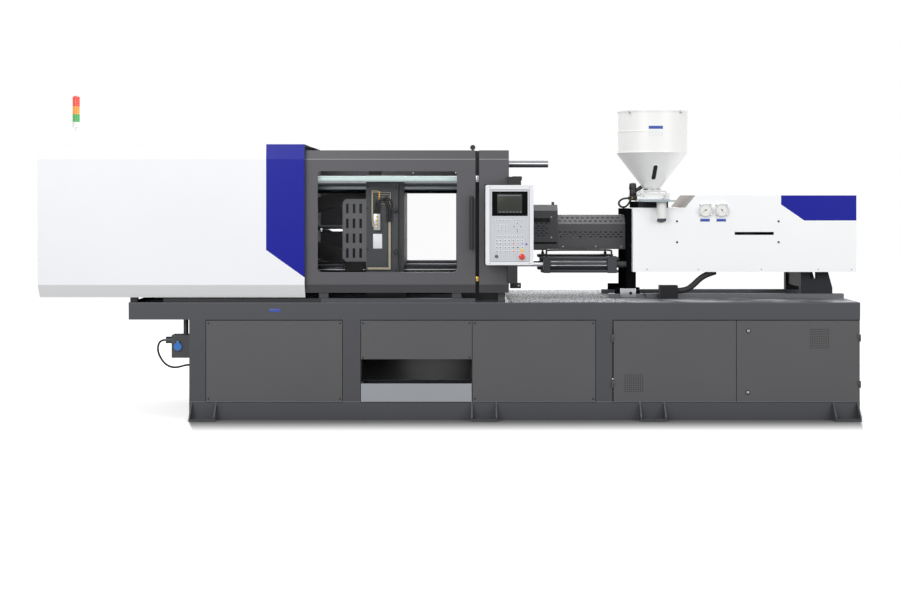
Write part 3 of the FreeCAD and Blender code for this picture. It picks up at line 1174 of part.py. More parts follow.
stockRight = f"{stockLeft} + stock_thickness"
feedX = f"{stockLeft} + feed_place"
feedRight = f"{feedX} + feed_half"
carriageRight = f"{stockRight} + carriage_length"
railTop = f"{deckTop} + rail_rise"
beamLow = f"{axisHeight} - beam_drop"
shoeTop = f"{railTop} + shoe_height"
beamTop = f"{beamLow} + beam_height"
thrustLeft = f"{stockLeft} + thrust_place"
thrustRight = f"{thrustLeft} + thrust_thickness"
noseTip = "fixed_face + ring_depth + nozzle_gap"
headLeft = f"{fixedBack} + head_gap"
headRight = f"{headLeft} + head_length"
screwTip = f"{headLeft} + screw_gap"


def makeInjectionRails():
    rails = [block(f"slideRail{side + 1}", (f"{stockLeft} - rail_reach", f"{bedRight} - deck_inset"),
                   across(side, "rail_inner", "rail_inner + rail_wide"), (deckTop, railTop))
             for side in (-1, 1)]
    return keep(group("injectionRails", rails), "injection_rails")


def makeCarriage():
    """The sliding carriage: front plate on shoes, two beams, injection cylinders and the rear saddle."""
    half = ("-plate_width", "plate_width")
    shoeLow = f"{railTop} + seat_gap"
    parts = [block("stockPlate", (stockLeft, stockRight), half, (shoeTop, f"{axisHeight} + plate_top")),
             block("feedBlock", (stockRight, feedRight), ("-feed_half", "feed_half"),
                   (f"{axisHeight} - feed_half", f"{axisHeight} + feed_rise"))]
    left = f"{carriageRight} - saddle_length"
    notch = (f"{left} + saddle_notch", f"{left} + saddle_notch + notch_width")
    leg = [(left, shoeLow), (carriageRight, shoeLow), (carriageRight, shoeTop),
           (f"{carriageRight} - saddle_flare", beamLow),
           (notch[1], beamLow), (notch[1], f"{beamLow} - notch_depth"), (notch[0], f"{beamLow} - notch_depth"),
           (notch[0], beamLow), (left, beamLow)]
    for side in (-1, 1):
        beam = across(side, "beam_inner", "beam_inner + beam_width")
        parts.append(block(f"carriageBeam{side + 1}", (stockLeft, carriageRight), beam, (beamLow, beamTop)))
        parts.append(block(f"frontShoe{side + 1}", (f"{stockLeft} - shoe_reach",
                                                    f"{stockRight} + shoe_reach / 3"), beam,
                           (shoeLow, shoeTop)))
        parts.append(pad(f"saddleLeg{side + 1}", "xz", leg, beam))
        parts.append(rod(f"injectionCylinder{side + 1}", "x", "shot_radius",
                         (stockRight, f"{stockRight} + shot_length"),
                         (f"{side} * shot_side", axisHeight)))
    parts.append(block("saddleCross", (f"{left} + 20", f"{left} + 45"), ("-beam_inner - 5", "beam_inner + 5"),
                       (shoeTop, beamTop)))
    tools = [rod("barrelSeat", "x", "barrel_radius + seat_gap", (f"{stockLeft} - 1", f"{feedRight} + 1"),
                 ("0", axisHeight)),
             rod("feedThroat", "z", "throat_radius", (axisHeight, f"{axisHeight} + feed_rise + 1"),
                 (feedX, "0"))]
    for side in (-1, 1):
        middle = (f"{side} * shot_side", axisHeight)
        tools.append(rod(f"shotBore{side + 1}", "x", "shot_radius - shot_wall",
                         (f"{stockRight} + 40", f"{stockRight} + shot_length - 40"), middle))
        tools.append(rod(f"shotGland{side + 1}", "x", "shot_rod + running_gap",
                         (f"{stockRight} + shot_length - 41", f"{stockRight} + shot_length + 1"), middle))
    return keep(cut("injectionCarriage", fuse("carriageFrame", parts), tools), "injection_carriage")


def makeBarrel():
    """The barrel with its end cap, nozzle and rear flange, bored for the screw."""
    points = [("0", "nozzle_hole"), ("0", "nozzle_tip"), ("15", "nozzle_tip + 8"),
              (f"({headLeft}) - ({noseTip}) - 40", "nozzle_tip + 22"),
              (f"({headLeft}) - ({noseTip}) - 40", "nozzle_tip + 30"),
              (f"({headLeft}) - ({noseTip})", "nozzle_tip + 30"),
              (f"({headLeft}) - ({noseTip})", "head_radius"),
              (f"({headRight}) - ({noseTip})", "head_radius"),
              (f"({headRight}) - ({noseTip})", "barrel_radius"),
              (f"({feedRight}) - ({noseTip})", "barrel_radius"),
              (f"({feedRight}) - ({noseTip})", "barrel_radius + 25"),
              (f"({feedRight}) - ({noseTip}) + 30", "barrel_radius + 25"),
              (f"({feedRight}) - ({noseTip}) + 30", "bore_radius"),
              (f"({headLeft}) - ({noseTip}) + 20", "bore_radius"),
              (f"({headLeft}) - ({noseTip})", "nozzle_hole")]
    turnedBarrel = lathe("barrelTurned", "x", points, (noseTip, "0", axisHeight))
    throat = rod("barrelThroat", "z", "throat_radius - 6", (axisHeight, f"{axisHeight} + barrel_radius + 1"),
                 (feedX, "0"))
    return keep(cut("barrel", turnedBarrel, [throat]), "barrel")


def makeHeaterBands():
    """Split heater bands clamped round the barrel, each with a terminal box."""
    bands = []
    for index in range(4):
        left = f"{headRight} + 30 + {index} * band_pitch"
        ends = (left, f"{left} + band_length")
        ring = rod(f"bandRing{index}", "x", "barrel_radius + band_wall", ends, ("0", axisHeight))
        box = block(f"bandBox{index}", (f"{left} + 40", f"{left} + 90"), ("-25", "25"),
                    (f"{axisHeight} - barrel_radius - band_wall - 30", f"{axisHeight} - barrel_radius - 3"))
        hole = rod(f"bandHole{index}", "x", "barrel_radius + seat_gap", (f"{left} - 1", f"{ends[1]} + 1"),
                   ("0", axisHeight))
        slit = block(f"bandSlit{index}", (f"{left} - 1", f"{ends[1]} + 1"), ("-1", "1"),
                     (f"{axisHeight} + barrel_radius - 2", f"{axisHeight} + barrel_radius + band_wall + 1"))
        bands.append(cut(f"band{index}", fuse(f"bandSolid{index}", [ring, box]), [hole, slit]))
    return keep(group("heaterBands", bands), "heater_bands")


def makeScrew():
    """The plasticising screw: a pointed core with a helical flight, and the shank in the drive."""
    points = [("0", "0"), ("40", "screw_radius - 4"), ("60", "screw_radius - 4"), ("60", "flight_radius"),
              ("80", "flight_radius"), ("80", "screw_radius"),
              (f"({thrustRight}) - ({screwTip}) - 30", "screw_radius"),
              (f"({thrustRight}) - ({screwTip}) - 30", "0")]
    core = lathe("screwCore", "x", points, (screwTip, "0", axisHeight))
    doc.recompute()
    start, turns = size(screwTip) + 90, 15
    radius, top, pitch = size("screw_radius"), size("flight_radius"), size("flight_pitch")
    spine = Part.makeHelix(pitch, pitch * turns, radius)
    wide = size("flight_width")
    outline = Part.makePolygon([FreeCAD.Vector(radius - 1, 0, -wide / 2), FreeCAD.Vector(top, 0, -wide / 2),
                                FreeCAD.Vector(top, 0, wide / 2), FreeCAD.Vector(radius - 1, 0, wide / 2),
                                FreeCAD.Vector(radius - 1, 0, -wide / 2)])
    flight = Part.Wire(spine).makePipeShell([outline], True, True)
    flight.Placement = FreeCAD.Placement(FreeCAD.Vector(start, 0, size(axisHeight)), turned["x"])
    item = doc.addObject("Part::Feature", "Screw")
    item.Shape = core.Shape.fuse(flight)
    return keep(item, "screw")


def makeThrustPlate():
    """The plate that carries the screw drive and the injection pistons."""
    plate = block("drivePlate", (thrustLeft, thrustRight), ("-plate_width + 10", "plate_width - 10"),
                  (f"{beamTop} + seat_gap", f"{axisHeight} + thrust_top"))
    seat = rod("screwSeat", "x", "screw_radius + running_gap", (f"{thrustLeft} - 1", f"{thrustRight} - 29"),
               ("0", axisHeight))
    motor = rod("screwMotor", "x", "motor_radius", (thrustRight, f"{thrustRight} + motor_length"),
                ("0", axisHeight))
    cap = rod("motorCap", "x", "motor_radius * 0.7", (f"{thrustRight} + motor_length",
                                                      f"{thrustRight} + motor_length + 60"),
              ("0", axisHeight))
    parts = [cut("drivePlateBored", plate, [seat]), motor, cap]
    for side in (-1, 1):
        middle = (f"{side} * shot_side", axisHeight)
        head = f"{stockRight} + 60"
        parts.append(rod(f"shotRod{side + 1}", "x", "shot_rod", (f"{head}", thrustLeft), middle))
        parts.append(rod(f"shotPiston{side + 1}", "x", "shot_radius - shot_wall - seat_gap",
                         (head, f"{head} + 40"), middle))
    return keep(fuse("thrustPlate", parts), "thrust_plate")


def archSection(high, low, bevel):
    """A folded arch of sheet with bevelled shoulders, seen along the machine."""
    half, top = "guard_half", f"{axisHeight} + {high}"
    outer = [(half, f"{axisHeight} - {low}"), (half, f"{top} - {bevel}"), (f"{half} - {bevel}", top)]
    slack = "sheet_wall * 0.414"
    inner = [(f"{half} - sheet_wall", outer[0][1]), (f"{half} - sheet_wall", f"{top} - {bevel} - {slack}"),
             (f"{half} - {bevel} - {slack}", f"{top} - sheet_wall")]
    right = outer + [(f"-({y})", z) for y, z in reversed(outer)]
    return right + [(f"-({y})", z) for y, z in inner] + list(reversed(inner))


def makeBarrelCover():
    """The ventilated cover over the barrel, with staggered rows of slots."""
    cover = pad("barrelCover", "yz", archSection("grille_high", "purge_low", "grille_fold"),
                (grilleLeft, stockLeft))

    def slotAt(along, height, wide, tall):
        def draw(sketch):
            left = f"-grille_length / 2 + {along}"
            drawPolygon(sketch, [(left, height), (f"{left} + {wide}", height),
                                 (f"{left} + {wide}", f"{height} + {tall}"), (left, f"{height} + {tall}")])
        return draw
    low = f"{axisHeight} - vent_low"
    for index, (shift, rows, lift, count) in enumerate((("8", 3, "0", 13), ("8 + vent_pitch / 2", 2,
                                                                            "vent_rise", 12))):
        first = pocket(cover, "xz", f"vent{index}", slotAt(shift, f"{low} + {lift}", "vent_width",
                                                           "vent_height"))
        repeat(cover, f"ventGrid{index}", first, (("H_Axis", "vent_pitch", count), ("V_Axis", "vent_rise * 2",
                                                                                    rows)))
    for index, (place, shift, count) in enumerate((("guard_half - 30", "8", 13), ("guard_half - 58",
                                                                                  "8 + vent_pitch / 2", 12))):
        first = pocket(cover, "xy", f"shoulderVent{index}", slotAt(shift, place, "vent_width", "vent_height"))
        repeat(cover, f"shoulderGrid{index}", first, (("H_Axis", "vent_pitch", count),))
        mirror = pocket(cover, "xy", f"shoulderVentFront{index}",
                        slotAt(shift, f"-({place}) - vent_height", "vent_width",
                                                                         "vent_height"))
        repeat(cover, f"shoulderGridFront{index}", mirror, (("H_Axis", "vent_pitch", count),))
    return keep(cover, "barrel_cover")


purgeLeft = f"{fixedBack} + seat_gap"
purgeRight = f"{grilleLeft} - 1"
purgeHingeY = "guard_half + hinge_radius + hinge_pin"
purgeHingeZ = f"{axisHeight} - purge_low + 2"
purgeKnuckles = ("60", "400")


def makePurgeGuard():
    """The tilting guard over the nozzle, with its grip and two hinge knuckles."""
    arch = pad("purgeArch", "yz", archSection("purge_high", "purge_low", "purge_bevel"),
               (purgeLeft, purgeRight))

    def drawSlots(sketch):
        shift = f"(({purgeLeft}) + ({purgeRight})) / 2"
        for left, right, low, high in ((293, 434, 50, 87), (293, 496, -142, -124)):
            ends = (f"{fixedBack} + {left} - {shift}", f"{fixedBack} + {right} - {shift}")
            heights = (f"{axisHeight} + {low}", f"{axisHeight} + {high}")
            drawPolygon(sketch, [(ends[0], heights[0]), (ends[1], heights[0]), (ends[1], heights[1]),
                                 (ends[0], heights[1])])
    pocket(arch, "xz", "purgeSlots", drawSlots)
    grip = rod("purgeGrip", "z", "12", (f"{axisHeight} + purge_high - 1", f"{axisHeight} + purge_high + 25"),
               (f"{purgeRight} - 38", "-guard_half + 80"))
    parts = [arch, grip]
    for index, along in enumerate(purgeKnuckles):
        ends = (f"{fixedBack} + {along} + seat_gap", f"{fixedBack} + {along} + hinge_length")
        barrel = rod(f"purgeBarrel{index}", "x", "hinge_radius", ends, (purgeHingeY, purgeHingeZ))
        leaf = block(f"purgeLeaf{index}", ends, ("guard_half", purgeHingeY),
                     (purgeHingeZ, f"{purgeHingeZ} + hinge_radius"))
        bore = rod(f"purgeBore{index}", "x", "hinge_pin + running_gap", (f"{ends[0]} - 1", f"{ends[1]} + 1"),
                   (purgeHingeY, purgeHingeZ))
        parts.append(cut(f"purgeHinge{index}", fuse(f"purgeArm{index}", [barrel, leaf]), [bore]))
    return keep(fuse("purgeGuard", parts), "purge_guard")


def makePurgeLedge():
    """The ledge behind the fixed platen that carries the guard's hinge pins."""
    ledgeTop = f"{purgeHingeZ} - 12"
    parts = [block("purgeLedge", (fixedBack, f"{fixedBack} + 440"),
                   (f"{purgeHingeY} - 8", f"{purgeHingeY} + 8"),
                   (f"{ledgeTop} - 14", ledgeTop))]
    for index, along in enumerate(purgeKnuckles):
        ends = (f"{fixedBack} + {along} - hinge_length", f"{fixedBack} + {along}")
        parts.append(rod(f"ledgeBarrel{index}", "x", "hinge_radius", ends, (purgeHingeY, purgeHingeZ)))
        parts.append(block(f"ledgeLeaf{index}", ends, (f"{purgeHingeY} - 8", f"{purgeHingeY} + 8"),
                           (ledgeTop, purgeHingeZ)))
        parts.append(rod(f"ledgePin{index}", "x", "hinge_pin", (ends[1], f"{ends[1]} + hinge_length"),
                         (purgeHingeY, purgeHingeZ)))
    return parts


jackZ = f"{axisHeight} - jack_rise"
jackRight = f"{stockLeft} - jack_mount"
jackBody = f"{jackRight} - jack_tail - jack_length"


def makeCarriageCylinders():
    """Two tie-rod cylinders that pull the injection unit against the mould."""
    solids = []
    for side in (-1, 1):
        name = f"jack{side + 1}"
        y = f"{side} * jack_side"
        half = "jack_block / 2"
        wide, tall = (f"{y} - {half}", f"{y} + {half}"), (f"{jackZ} - {half}", f"{jackZ} + {half}")
        parts = [block(name + "Head", (f"{jackBody} - jack_head", jackBody), wide, tall),
                 block(name + "Tail", (f"{jackRight} - jack_tail", jackRight), wide, tall),
                 rod(name + "Tube", "x", "jack_radius", (jackBody, f"{jackRight} - jack_tail"), (y, jackZ)),
                 rod(name + "Mount", "x", "jack_rod * 1.6", (jackRight, stockLeft), (y, jackZ))]
        for index, (u, v) in enumerate(((-1, -1), (1, -1), (-1, 1), (1, 1))):
            parts.append(rod(f"{name}Tie{index}", "x", "jack_tie",
                             (f"{jackBody} - jack_head - 14", f"{jackRight} + 14"),
                             (f"{y} + {u} * ({half} - 16)", f"{jackZ} + {v} * ({half} - 16)")))
        tools = [rod(name + "Bore", "x", "jack_radius - 12", (f"{jackBody}", f"{jackRight} - jack_tail"),
                     (y, jackZ)),
                 rod(name + "Gland", "x", "jack_rod + running_gap",
                     (f"{jackBody} - jack_head - 1", f"{jackBody} + 1"),
                     (y, jackZ))]
        solids.append(cut(name, fuse(name + "Solid", parts), tools))
    return keep(group("carriageCylinders", solids), "carriage_cylinders")


def makeCarriageRods():
    """The two cylinder rods, screwed into the back of the fixed platen."""
    rods = []
    for side in (-1, 1):
        middle = (f"{side} * jack_side", jackZ)
        piston = f"{jackRight} - jack_tail - 120"
        shaft = rod(f"jackShaft{side + 1}", "x", "jack_rod", (fixedBack, piston), middle)
        collar = rod(f"jackCollar{side + 1}", "x", "jack_rod * 1.2", (fixedBack, f"{fixedBack} + 30"), middle)
        head = rod(f"jackPiston{side + 1}", "x", "jack_radius - 12 - seat_gap", (piston, f"{piston} + 40"),
                   middle)
        rods.append(fuse(f"jackRodAssembly{side + 1}", [shaft, collar, head]))
    return keep(group("carriageRods", rods), "carriage_rods")


boxStart = f"{stockLeft} + cover_shift"
boxEnd = f"{boxStart} + cover_run"
boxTop = f"{axisHeight} + cover_top"
boxLow = f"{axisHeight} - cover_base"


def makeInjectionCover():
    """The large sheet cover of the injection unit, open below, with a lower step for the hopper."""
    step = f"{boxTop} - notch_drop"
    profile = [(boxStart, boxLow), (boxEnd, boxLow), (boxEnd, boxTop),
               (f"{boxStart} + notch_run + notch_slope", boxTop),
               (f"{boxStart} + notch_run", step), (boxStart, step)]
    shell = pad("injectionShell", "xz", profile, ("-cover_half", "cover_half"))
    wall = "sheet_wall"
    inside = [(f"{boxStart} + {wall}", f"{boxLow} - 1"), (f"{boxEnd} - {wall}", f"{boxLow} - 1"),
              (f"{boxEnd} - {wall}", f"{boxTop} - {wall}"),
              (f"{boxStart} + notch_run + notch_slope + 1", f"{boxTop} - {wall}"),
              (f"{boxStart} + notch_run + 1", f"{step} - {wall}"), (f"{boxStart} + {wall}", f"{step} - {wall}")]
    hollow = pad("injectionHollow", "xz", inside, (f"-cover_half + {wall}", f"cover_half - {wall}"))
    front = [block("plateOpening", (f"{boxStart} - 1", f"{boxStart} + 10"),
                   ("-plate_width - 2", "plate_width + 2"),
                   (f"{boxLow} - 1", f"{axisHeight} + plate_top + 2")),
             block("hopperOpening", (f"{feedX} - feed_half - 60", f"{feedRight} + 4"),
                   ("-feed_half - 4", "feed_half + 4"),
                   (f"{step} - 10", f"{step} + 1")),
             block("coverSlot", (f"{boxStart} + 890", f"{boxStart} + 1232"),
                   ("-cover_half - 1", "-cover_half + 20"),
                   (f"{axisHeight} - 55", f"{axisHeight} - 29"))]
    brackets = [block(f"coverBracket{side + 1}{index}", ends,
                      across(side, "plate_width", "cover_half - sheet_wall"),
                      (f"{boxLow} + 10", f"{boxLow} + 16"))
                for side in (-1, 1) for index, ends in enumerate(((f"{boxStart} + 4", f"{stockRight}"),))]
    rear = [block(f"rearBracket{side + 1}", (f"{carriageRight} - 60", f"{carriageRight} - 10"),
                  across(side, "plate_width", "cover_half - sheet_wall"),
                  (f"{boxLow} + 30", f"{boxLow} + 36")) for side in (-1, 1)]
    made = cut("injectionCover", shell, [hollow] + front)
    return keep(fuse("injectionCoverHeld", [made] + brackets + rear), "injection_cover")


def makeHopperSlidePlate():
    """The slide on the feed block, with the emptying tube at its outer end."""
    low = f"{axisHeight} + feed_rise"
    plate = block("slidePlate", (f"{feedX} - slide_half", f"{feedX} + slide_half"),
                  ("-slide_front", "slide_half"),
                  (low, f"{low} + slide_plate"))
    tube = rod("emptyingTube", "z", "tube_radius", (f"{low} - tube_length", f"{low} + 1"),
               (f"{feedX} + 20", "-tube_place"))
    tools = [rod("emptyingBore", "z", "tube_radius - 4", (f"{low} - tube_length - 1",
                                                          f"{low} + slide_plate + 1"),
                 (f"{feedX} + 20", "-tube_place")),
             rod("slideThroat", "z", "throat_radius", (f"{low} - 1", f"{low} + slide_plate + 1"), (feedX, "0"))]
    return keep(cut("hopperSlidePlate", fuse("slidePlateSolid", [plate, tube]), tools), "hopper_slide_plate")


slideTop = f"{axisHeight} + feed_rise + slide_plate"


def makeHopper():
    """The sliding block, the turned hopper on it, and its lid."""
    low = f"{slideTop} + seat_gap"
    flange = f"{slideTop} + slide_height"
    deep = ("-slide_half + 10", "slide_half - 10")
    reach = "(slide_half + seat_gap + slide_plate)"
    base = block("hopperBlock", (f"{feedX} - {reach}", f"{feedX} + {reach}"), deep, (low, flange))
    guides = []
    for side in (-1, 1):
        near, far = across(side, "slide_half + seat_gap", reach)
        guides.append(block(f"hopperGuide{side + 1}", (f"{feedX} + {near}", f"{feedX} + {far}"), deep,
                            (f"{slideTop} - slide_plate + 2", flange)))
    throat = rod("blockThroat", "z", "throat_radius", (f"{low} - 1", f"{flange} + 1"), (feedX, "0"))
    keep(cut("hopperBase", fuse("hopperBlockGuided", [base] + guides), [throat]), "hopper_base")
    rise = f"(({axisHeight}) + neck_rise - ({flange}))"
    wall = "hopper_wall"
    outer = [("0", "throat_radius"), ("0", "neck_radius + 28"), ("8", "neck_radius + 28"), ("8", "neck_radius"),
             (rise, "neck_radius"), (f"{rise} + cone_height", "hopper_radius"),
             (f"{rise} + cone_height + drum_height", "hopper_radius")]
    inner = [(f"{along}", f"{radius} - {wall}") for along, radius in reversed(outer[4:])]
    inner[1] = (f"{rise} + cone_height + 1", f"hopper_radius - {wall}")
    shell = lathe("hopperShell", "z", outer + inner + [("8", f"neck_radius - {wall}"), ("8", "throat_radius")],
                  (feedX, "0", flange))
    keep(shell, "hopper")
    top = f"{flange} + {rise} + cone_height + drum_height"
    lid = [("0", "0"), ("0", "hopper_radius + 1"), ("-14", "hopper_radius + 1"), ("-14", "hopper_radius + 4"),
           ("3", "hopper_radius + 4"), ("lid_rise", "hopper_radius * 0.9"), ("lid_rise", "0")]
    keep(lathe("hopperLid", "z", lid, (feedX, "0", top)), "hopper_lid")


def makeGauges():
    """Two dial gauges on the face of the injection cover."""
    gauges = []
    for index in range(2):
        middle = (f"{boxStart} + gauge_place + {index} * gauge_pitch", f"{axisHeight} + gauge_rise")
        face = "-cover_half"
        can = rod(f"gaugeCan{index}", "y", "gauge_radius", (f"{face} - gauge_depth", face), middle)
        dish = rod(f"gaugeDish{index}", "y", "gauge_radius - 6",
                   (f"{face} - gauge_depth - 1", f"{face} - gauge_depth + 4"),
                   middle)
        post = rod(f"gaugePost{index}", "y", "4", (f"{face} - gauge_depth + 1.5",
                                                   f"{face} - gauge_depth + 4.5"), middle)
        gauges.append(fuse(f"gauge{index}", [cut(f"gaugeCup{index}", can, [dish]), post]))
    return keep(group("pressureGauges", gauges), "pressure_gauges")


def makeEnergyChain():
    """The ribbed conduit that rises from the outlet box to the carriage."""
    left = size(f"{stockLeft} + outlet_place + outlet_length")
    y, z = -size("outlet_side"), size(deckTop) + 72
    points = [(left, y, z), (left + 74, y, z), (left + 144, y + 14, z + 46),
              (left + 204, y + 28, z + 104), (left + 270, y + 44, z + 142), (left + 344, y + 60, z + 162)]
    item = doc.addObject("Part::Feature", "EnergyChain")
    item.Shape = hose(points, 26)
    return keep(item, "energy_chain")


def finish():
    """Checks every object, then writes one file for each piece."""
    doc.recompute()
    faults = [item.Name for item in doc.Objects if "Invalid" in item.State or "Error" in item.State]
    for item in nodes:
        if item.Shape.isNull() or not item.Shape.isValid() or not item.Shape.Solids:
            faults.append(item.Label)
    if faults:
        raise RuntimeError("not sound: " + ", ".join(faults))
    for item in nodes:
        item.Shape.exportStep(f"parts/{item.Label}.step")
        print(f"{item.Label}: {len(item.Shape.Solids)} solids")


for make in (makeBaseFrame, makeSidePanels, makeScrapTray, makeCabinetDoors, makeCabinetGear, makeHydraulicUnit,
             makeBed, makeDeckPlates, makeFixedPlaten, makeMovingPlaten, makeTailPlaten, makeTieBars,
             makeClampCylinder, makeCrosshead, makeLinks, makeEjector, makeSafetyRod, makePlatenSide,
             makePlatenHoses, makeGuardFrame, makeWorkLamp, makeDoorHandle, makeClampCovers, makePlatenGuard,
             makeSignalLight, makeServiceBox, makeServiceLid, makeServiceCable, makeControlPanel,
             makePanelScreen,
             makeStopButton, makePanelArm, makeInjectionRails, makeCarriage, makeBarrel, makeHeaterBands,
             makeScrew,
             makeThrustPlate, makeBarrelCover, makePurgeGuard, makeCarriageCylinders, makeCarriageRods,
             makeInjectionCover, makeHopperSlidePlate, makeHopper, makeGauges, makeEnergyChain):
    make()
operatorWindow = f"{doorLeft} + window_left"
rearWindow = f"{doorRight} - window_right - rear_window"
for label, side, windowLeft in (("operator_door", -1, operatorWindow), ("rear_door", 1, rearWindow)):
    makeSlidingDoor(label, side, windowLeft)
    makePane(label + "_pane", side, windowLeft)
finish()
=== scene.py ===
import bpy
import bmesh
import math
from mathutils import Matrix, Vector


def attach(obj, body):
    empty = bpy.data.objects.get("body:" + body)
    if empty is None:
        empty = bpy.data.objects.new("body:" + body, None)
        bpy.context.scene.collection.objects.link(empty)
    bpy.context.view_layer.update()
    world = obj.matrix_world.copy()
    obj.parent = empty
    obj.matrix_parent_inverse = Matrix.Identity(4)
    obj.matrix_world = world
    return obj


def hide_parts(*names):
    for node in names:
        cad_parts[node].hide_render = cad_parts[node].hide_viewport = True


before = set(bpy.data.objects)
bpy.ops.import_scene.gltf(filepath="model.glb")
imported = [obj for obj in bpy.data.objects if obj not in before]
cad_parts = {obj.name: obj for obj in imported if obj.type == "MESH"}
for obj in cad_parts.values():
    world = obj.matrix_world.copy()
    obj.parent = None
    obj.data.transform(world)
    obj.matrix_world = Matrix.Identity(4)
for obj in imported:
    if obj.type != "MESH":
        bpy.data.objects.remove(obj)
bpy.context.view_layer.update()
scene = bpy.context.scene
print("frame loaded:", len(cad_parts), "parts")

mm = 0.001
right, front, back, up = (Vector(v) for v in ((1, 0, 0), (0, -1, 0), (0, 1, 0), (0, 0, 1)))


def newObject(name, data):
    item = bpy.data.objects.new(name, data)
    scene.collection.objects.link(item)
    return item


# the camera stands level on the operator's side, a little above the deck, with a slight shift down
camera = {"place": (-0.024, -13.217, 1.9125), "lens": 58.48, "sensor": 36, "shiftDown": 0.1167}
cameraData = bpy.data.cameras.new("photoCamera")
cameraData.sensor_width = camera["sensor"]
cameraData.lens = camera["lens"]
cameraData.shift_y = -camera["shiftDown"]
cameraObject = newObject("photoCamera", cameraData)
cameraObject.location = camera["place"]
cameraObject.rotation_euler = (math.pi / 2, 0, 0)
scene.camera = cameraObject
scene.view_settings.view_transform = "Standard"


def hexToLinear(text):
    values = [int(text[index:index + 2], 16) / 255 for index in (1, 3, 5)]
    return tuple(v / 12.92 if v <= 0.04045 else ((v + 0.055) / 1.055) ** 2.4 for v in values) + (1.0,)


def addNode(tree, kind, sockets=None, **settings):
    node = tree.nodes.new("ShaderNode" + kind)
    for name, value in settings.items():
        setattr(node, name, value)
    for socket, value in (sockets or {}).items():
        if isinstance(value, bpy.types.NodeSocket):
            tree.links.new(value, node.inputs[socket])
        else:
            node.inputs[socket].default_value = value
    return node.outputs


# short names for the nodes used most; each goes into the tree of the socket that it is given
def maths(operation, *values):
    tree = next(value.id_data for value in values if isinstance(value, bpy.types.NodeSocket))
    return addNode(tree, "Math", dict(enumerate(values)), operation=operation)[0]


def above(value, limit):
    return maths("GREATER_THAN", value, limit)


def below(value, limit):
    return maths("LESS_THAN", value, limit)


def within(value, middle, half):
    return below(maths("ABSOLUTE", maths("SUBTRACT", value, middle)), half)


def excess(value, limit):
    return maths("MAXIMUM", maths("SUBTRACT", value, limit), 0.0)


def product(first, *others):
    for other in others:
        first = maths("MULTIPLY", first, other)
    return first


def mixed(factor, first, second):
    tones = [hexToLinear(tone) if isinstance(tone, str) else tone for tone in (first, second)]
    return addNode(factor.id_data, "Mix", {0: factor, 6: tones[0], 7: tones[1]}, data_type="RGBA")[2]


def ranged(value, low, high, start=0.0, end=1.0):
    sockets = {"Value": value, "From Min": start, "From Max": end, "To Min": low, "To Max": high}
    return addNode(value.id_data, "MapRange", sockets)[0]


def noise(place, size, detail=2.0):
    sockets = {"Vector": place, "Scale": 1 / (size * mm), "Detail": detail}
    return addNode(place.id_data, "TexNoise", sockets)["Fac"]


def wave(place, pitch, axis, distortion=0.0, turns=0.314):
    sockets = {"Vector": place, "Scale": turns / (pitch * mm), "Distortion": distortion}
    return addNode(place.id_data, "TexWave", sockets, bands_direction=axis)["Fac"]


def stretched(place, scale, degrees=0):
    sockets = {"Vector": place, "Scale": scale, "Rotation": (0, 0, math.radians(degrees))}
    return addNode(place.id_data, "Mapping", sockets)["Vector"]


def axesOf(place):
    return addNode(place.id_data, "SeparateXYZ", {"Vector": place})


def newMaterial(name, **shaderValues):
    material = bpy.data.materials.new(name)
    material.use_nodes = True
    shader = material.node_tree.nodes["Principled BSDF"].inputs
    for socket, value in shaderValues.items():
        shader[socket.replace("_", " ")].default_value = value
    return material, shader, addNode(material.node_tree, "TexCoord")["Object"]


def wire(shader, **sources):
    for name, source in sources.items():
        source.id_data.links.new(source, shader[name.replace("_", " ")])


def emboss(shader, height, strength, depth):
    sockets = {"Height": height, "Strength": strength, "Distance": depth * mm}
    wire(shader, Normal=addNode(height.id_data, "Bump", sockets)["Normal"])


# powder coat on sheet steel: sprayed and baked, so an even satin skin with a fine
# orange peel, 3 mm from crest to crest, and a faint cloudiness from pass to pass
def powderCoat(name, light, dark, roughness=0.42, gloss=0.5, field=None, cloud=900, peel=3.0):
    material, shader, place = newMaterial(name, Roughness=roughness, Specular_IOR_Level=gloss)
    color = mixed(noise(place, cloud, 3.0), dark, light)
    wire(shader, Base_Color=field(shader, place, color) if field else color)
    emboss(shader, noise(place, peel, 1.0), 0.3, 0.2)
    return material


# the covers' sprayed blue corners and the sheets round them, in metres; the clamp cover's fold is painted
# lighter as painted light, and the injection cover's ramp is painted grey and matt as painted shade
blue = "#101896"
clampBlue = {"from": -1.582, "low": 1.447, "slope": 0.715, "front": -0.7, "fold": 1.149, "foldPaintedLight": "#fdfeff"}
shotBlue = {"from": 2.873, "low": 1.689, "knee": 1.829, "slope": 1.45, "front": -0.42}
# painted shade: the notch's ramp, which faces up and left, is painted grey and matt
shotRampShade = {"low": 1.8, "end": 2.127, "front": -0.4247, "tone": "#a39e9c", "gloss": 0.25}


def clampField(shader, place, color):
    x, y, z = axesOf(place)
    across = maths("SUBTRACT", x, clampBlue["from"])
    drop = maths("MULTIPLY_ADD", across, -clampBlue["slope"], clampBlue["low"])
    corner = product(above(z, drop), above(across, 0.0), below(y, clampBlue["front"]))
    # painted light: the clamp cover's fold, below its height, is painted lighter
    return mixed(corner, mixed(below(z, clampBlue["fold"]), color, clampBlue["foldPaintedLight"]), blue)


